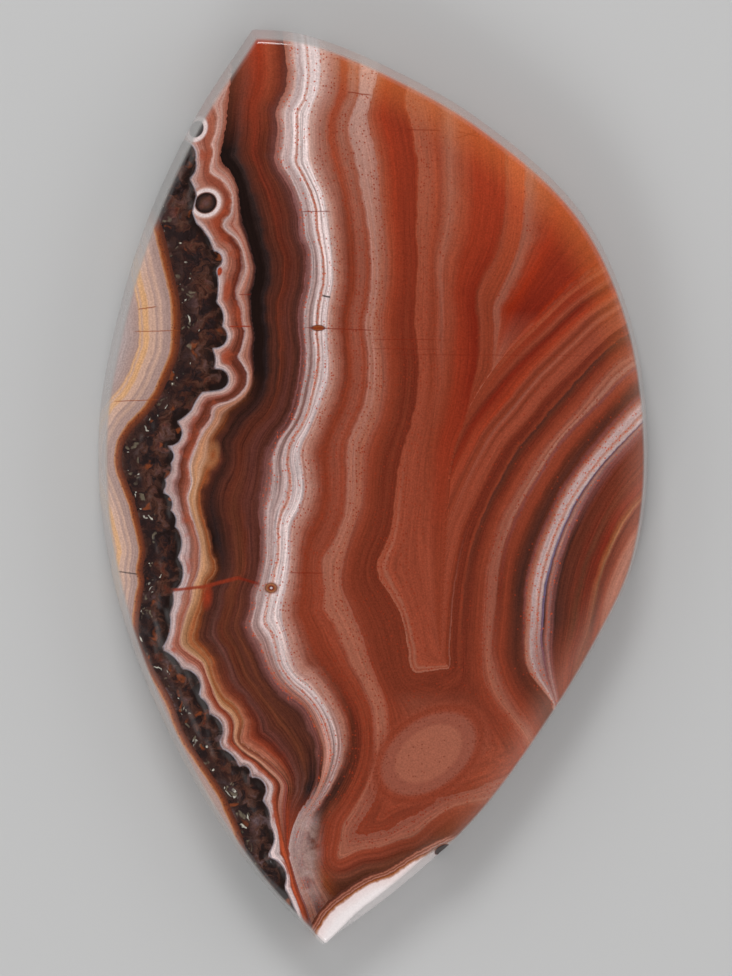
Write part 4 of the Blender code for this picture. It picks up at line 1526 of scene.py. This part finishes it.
# The healed cracks and stains, and one painted sheen across the dark round eye: both ends, width,
# colour and strength.
CRACKS_AND_SHEEN = (
    ((345, 92), (372, 96), 2.0, "blood", 0.8), ((404, 130), (442, 131), 2.0, "blood", 0.6),
    ((455, 131), (482, 138), 2.2, "blood", 0.5), ((455, 139), (478, 132), 2.2, "blood", 0.5),
    ((300, 212), (332, 212), 2.0, "blood", 0.7), ((322, 296), (331, 298), 2.8, "soot", 0.9),
    ((300, 328), (380, 331), 1.8, "blood", 0.7), ((366, 340), (442, 340), 1.8, "blood", 0.5),
    ((366, 349), (445, 350), 1.8, "blood", 0.4), ((380, 355), (592, 356), 1.8, "blood", 0.35),
    ((228, 327), (253, 327), 2.4, "ember", 0.9), ((238, 295), (252, 295), 2.0, "blood", 0.6),
    ((137, 310), (158, 307), 1.8, "amber", 0.8), ((132, 332), (182, 331), 1.8, "amber", 0.7),
    ((112, 402), (161, 400), 1.8, "amber", 0.7), ((118, 572), (140, 575), 2.2, "soot", 0.8),
    ((172, 591), (206, 587), 5.0, "ember", 0.9), ((198, 589), (244, 577), 6.0, "ember", 0.8),
    ((238, 578), (262, 585), 4.5, "blood", 0.7), ((288, 573), (326, 574), 2.0, "blood", 0.6),
    # painted highlight: a grey-violet sheen laid across the dark round eye
    ((199, 210), (212, 196), 7.0, "dusk", 0.5),
)
# The light through the edge: how far in it reaches, where it starts on the left, and how it fades down.
GLOW_REACH = (50, 3)
GLOW_SIDE = (300, 360)
GLOW_HEIGHTS = (420, 220, 0.3, 1.0)
# How strongly the painted reflection greys the wall: the rind's distance over which it changes, then on
# the rind and elsewhere.
WALL_REFLECTION_GREY = (2, -4, 0.1, 0.55)
# How much weaker the grain is on the rind.
RIND_GRAIN = 0.3
REFRACTION = 1.54


def agate_material(colours, finish):
    """Polished agate: bands, crystal vein, corner, foot and rind, and the marks over them, with painted
    glow, reflection, highlight and shade.
    """
    material = bpy.data.materials.new("agate")
    material.use_nodes = True
    tree = material.node_tree
    shader = tree.nodes["Principled BSDF"]
    r = Recipe(tree)
    sheet = r.vector(r.attribute("across"), r.attribute("height"), r.attribute("deep"))
    result = band_colours(r, colours, finish, sheet)
    result = foot_colours(r, colours, sheet, result)
    for *place, rings in EYES:
        result = spot(r, sheet, result, place, named(colours, rings))
    density = r.ramp(oval(r, sheet, *OVAL_EYE), OVAL_SPECKS)
    result = specks(r, sheet, result, density, colours.garnet, cell=2.2, radius=0.5, strength=0.75)
    in_vein = r.math("LESS_THAN", r.attribute("vein"), 0.0)
    result = r.mix(in_vein, result, vein_colours(r, colours, sheet))
    in_wedge = r.math("GREATER_THAN", r.attribute("wedge"), 0.0)
    result = r.mix(r.times(in_wedge, in_vein), result, wedge_colours(r, colours, sheet))
    shaken = r.node("TexNoise", {"Vector": sheet, "Scale": 0.15}).outputs["Color"]
    ragged = r.node("VectorMath", {0: sheet, 1: shaken}).outputs[0]
    for start, end, width, name, strength in CRACKS_AND_SHEEN:
        result = streak(r, ragged, result, start, end, width, getattr(colours, name), strength)

    # painted light: the edge lets light through, most of all at the upper right; a painted reflection
    # makes the wall greyer than the face
    glow = r.times(
        r.between(r.attribute("rim"), *GLOW_REACH, smooth=True),
        r.between(r.attribute("across"), *GLOW_SIDE),
        r.between(r.attribute("height"), *GLOW_HEIGHTS, smooth=True),
    )
    result = r.mix(glow, result, (*colours.glow, 1), "SCREEN")
    strength = r.between(r.attribute("rind"), 0, 3, finish.grain, finish.grain * RIND_GRAIN)
    result = shaded(r, result, r.noise(sheet, scale=0.6), strength)
    grey = r.times(r.attribute("wall"), r.between(r.attribute("rind"), *WALL_REFLECTION_GREY))
    result = r.mix(grey, result, (*colours.painted_reflection, 1))

    # painted shade in the chip's hollow, then the chip's duller polish
    result = spot(r, sheet, result, CHIP_MARK, named(colours, CHIP_SHADE_RINGS))
    polish = (finish.roughness, finish.roughness, finish.roughness, 1)
    dull = spot(r, sheet, polish, CHIP_MARK, CHIP_DULLNESS)
    tree.links.new(dull, shader.inputs["Roughness"])
    tree.links.new(result, shader.inputs["Base Color"])
    shader.inputs["IOR"].default_value = REFRACTION
    return material


def lamp(name, place, side, power):
    """One soft square lamp, turned to the stone and not itself seen."""
    data = bpy.data.lights.new(name, "AREA")
    data.shape = "SQUARE"
    data.size = side
    data.energy = power
    lamp_object = bpy.data.objects.new(name, data)
    bpy.context.scene.collection.objects.link(lamp_object)
    lamp_object.location = place
    lamp_object.rotation_euler = place.to_track_quat("Z", "Y").to_euler()
    lamp_object.visible_camera = False


# Each lamp: where it stands round the stone and how high, in degrees, its size and its share.
LAMPS = (
    ("key_lamp", 97, 50, 0.13, 0.62),
    ("foot_lamp", 255, 38, 0.15, 0.38),
)
LAMP_DISTANCE = 0.42
# The room's light by height, from straight down to straight overhead, where it is dark.
ROOM_LIGHT = ((-1.0, 0.6), (0.0, 0.8), (0.45, 1.0), (0.72, 0.95), (0.86, 0.12), (1.0, 0.05))
FRAME_WIDTH = 732
FRAME_HEIGHT = 976
CAMERA_DISTANCE = 1.5
SENSOR = 36.0
CLIP = (0.01, 20)
FLOOR_SIZE = 6
FLOOR_ROUGHNESS = 0.9
FLOOR_GLOSS = 0.1


def place_camera():
    """The camera looks down on the stone, from slightly beyond its upper left."""
    middle = (LOW + HIGH) / 2
    back = Vector((-BAND_LEAN[0], -BAND_LEAN[1], 1)).normalized()
    across = (Vector((1, 0, 0)) - back * back.x).normalized()
    upward = back.cross(across)
    data = bpy.data.cameras.new("camera")
    data.sensor_width = SENSOR
    data.lens = SENSOR * CAMERA_DISTANCE / (FRAME_HEIGHT * SHEET_UNIT)
    data.clip_start, data.clip_end = CLIP
    camera = bpy.data.objects.new("camera", data)
    bpy.context.scene.collection.objects.link(camera)
    turn = Matrix((across, upward, back)).transposed().to_4x4()
    shift = Vector(((FRAME_WIDTH / 2 - SHEET_MIDDLE[0]), (SHEET_MIDDLE[1] - FRAME_HEIGHT / 2)))
    target = middle + (across * shift.x + upward * shift.y) * SHEET_UNIT
    camera.matrix_world = Matrix.Translation(target + back * CAMERA_DISTANCE) @ turn
    bpy.context.scene.camera = camera


def lay_floor(stage):
    """The plain pale floor."""
    bpy.ops.mesh.primitive_plane_add(size=FLOOR_SIZE, location=(0, 0, 0))
    floor = bpy.context.object
    floor.name = floor.data.name = "floor"
    material = bpy.data.materials.new("floor")
    material.use_nodes = True
    shader = material.node_tree.nodes["Principled BSDF"]
    shader.inputs["Base Color"].default_value = (*stage.floor, 1)
    shader.inputs["Roughness"].default_value = FLOOR_ROUGHNESS
    shader.inputs["Specular IOR Level"].default_value = FLOOR_GLOSS
    floor.data.materials.append(material)


def light_room(stage):
    """The room's light, brightest halfway up and dark straight overhead."""
    world = bpy.data.worlds.new("room")
    world.use_nodes = True
    r = Recipe(world.node_tree)
    background = world.node_tree.nodes["Background"]
    way = r.node("TexCoord").outputs["Generated"]
    upward = r.node("SeparateXYZ", {"Vector": way}).outputs[2]
    world.node_tree.links.new(r.ramp(upward, ROOM_LIGHT), background.inputs["Color"])
    background.inputs["Strength"].default_value = stage.world
    bpy.context.scene.world = world
    bpy.context.scene.view_settings.view_transform = "Standard"


def build_stage(stage):
    """The floor, two soft lamps, the room's light and the camera."""
    select_nothing()
    lay_floor(stage)
    for name, azimuth, elevation, side, power in LAMPS:
        around, up = math.radians(azimuth), math.radians(elevation)
        away = Vector((math.cos(around) * math.cos(up), math.sin(around) * math.cos(up), math.sin(up)))
        lamp(name, away * LAMP_DISTANCE, side, stage.light * power)
    light_room(stage)
    place_camera()


class AGATE_OT_stone(bpy.types.Operator):
    """Model the cut stone, from its flat back up to its dome"""

    bl_idname = "agate.stone"
    bl_label = "Cut the Stone"

    def execute(self, context):
        shape = context.scene.agate_shape
        stone = model_stone(shape)
        chip_edge(stone)
        PIECES["stone"] = stone
        return {"FINISHED"}


class AGATE_OT_bands(bpy.types.Operator):
    """Trace the bands through the stone and sink its crystal vein"""

    bl_idname = "agate.bands"
    bl_label = "Trace the Bands"

    def execute(self, context):
        stone = PIECES["stone"]
        distances = trace_bands(stone)
        sink_crystals(stone, distances, context.scene.agate_shape)
        return {"FINISHED"}


class AGATE_OT_polish(bpy.types.Operator):
    """Give the stone its colours and its polish"""

    bl_idname = "agate.polish"
    bl_label = "Polish the Stone"

    def execute(self, context):
        stone = PIECES["stone"]
        material = agate_material(context.scene.agate_colours, context.scene.agate_finish)
        stone.data.materials.append(material)
        select_nothing()
        bpy.context.view_layer.objects.active = stone
        stone.select_set(True)
        bpy.ops.object.shade_smooth_by_angle(angle=SHARP_ANGLE)
        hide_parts("cabochon")
        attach(stone, "root")
        return {"FINISHED"}


class AGATE_OT_stage(bpy.types.Operator):
    """Lay the floor and place the lamps and the camera"""

    bl_idname = "agate.stage"
    bl_label = "Set the Stage"

    def execute(self, context):
        build_stage(context.scene.agate_stage)
        return {"FINISHED"}


class AGATE_PT_panel(bpy.types.Panel):
    """The stone's settings and its steps, in order"""

    bl_idname = "AGATE_PT_panel"
    bl_label = "Banded Agate"
    bl_space_type = "VIEW_3D"
    bl_region_type = "UI"
    bl_category = "Agate"

    def draw(self, context):
        for group in ("agate_shape", "agate_colours", "agate_finish", "agate_stage"):
            settings = getattr(context.scene, group)
            box = self.layout.box()
            for name in settings.bl_rna.properties.keys():
                if name not in ("rna_type", "name"):
                    box.prop(settings, name)
        for operator in OPERATORS:
            self.layout.operator(operator.bl_idname)


OPERATORS = (AGATE_OT_stone, AGATE_OT_bands, AGATE_OT_polish, AGATE_OT_stage)
GROUPS = {
    "agate_shape": AgateShape, "agate_colours": AgateColours, "agate_finish": AgateFinish,
    "agate_stage": AgateStage,
}


def register():
    for cls in (*GROUPS.values(), *OPERATORS, AGATE_PT_panel):
        bpy.utils.register_class(cls)
    for name, group in GROUPS.items():
        setattr(bpy.types.Scene, name, bpy.props.PointerProperty(type=group))


def unregister():
    for name in GROUPS:
        delattr(bpy.types.Scene, name)
    for cls in (AGATE_PT_panel, *reversed(OPERATORS), *reversed(GROUPS.values())):
        bpy.utils.unregister_class(cls)


def main():
    register()
    bpy.ops.agate.stone()
    bpy.ops.agate.bands()
    bpy.ops.agate.polish()
    bpy.ops.agate.stage()


if __name__ == "__main__":
    main()
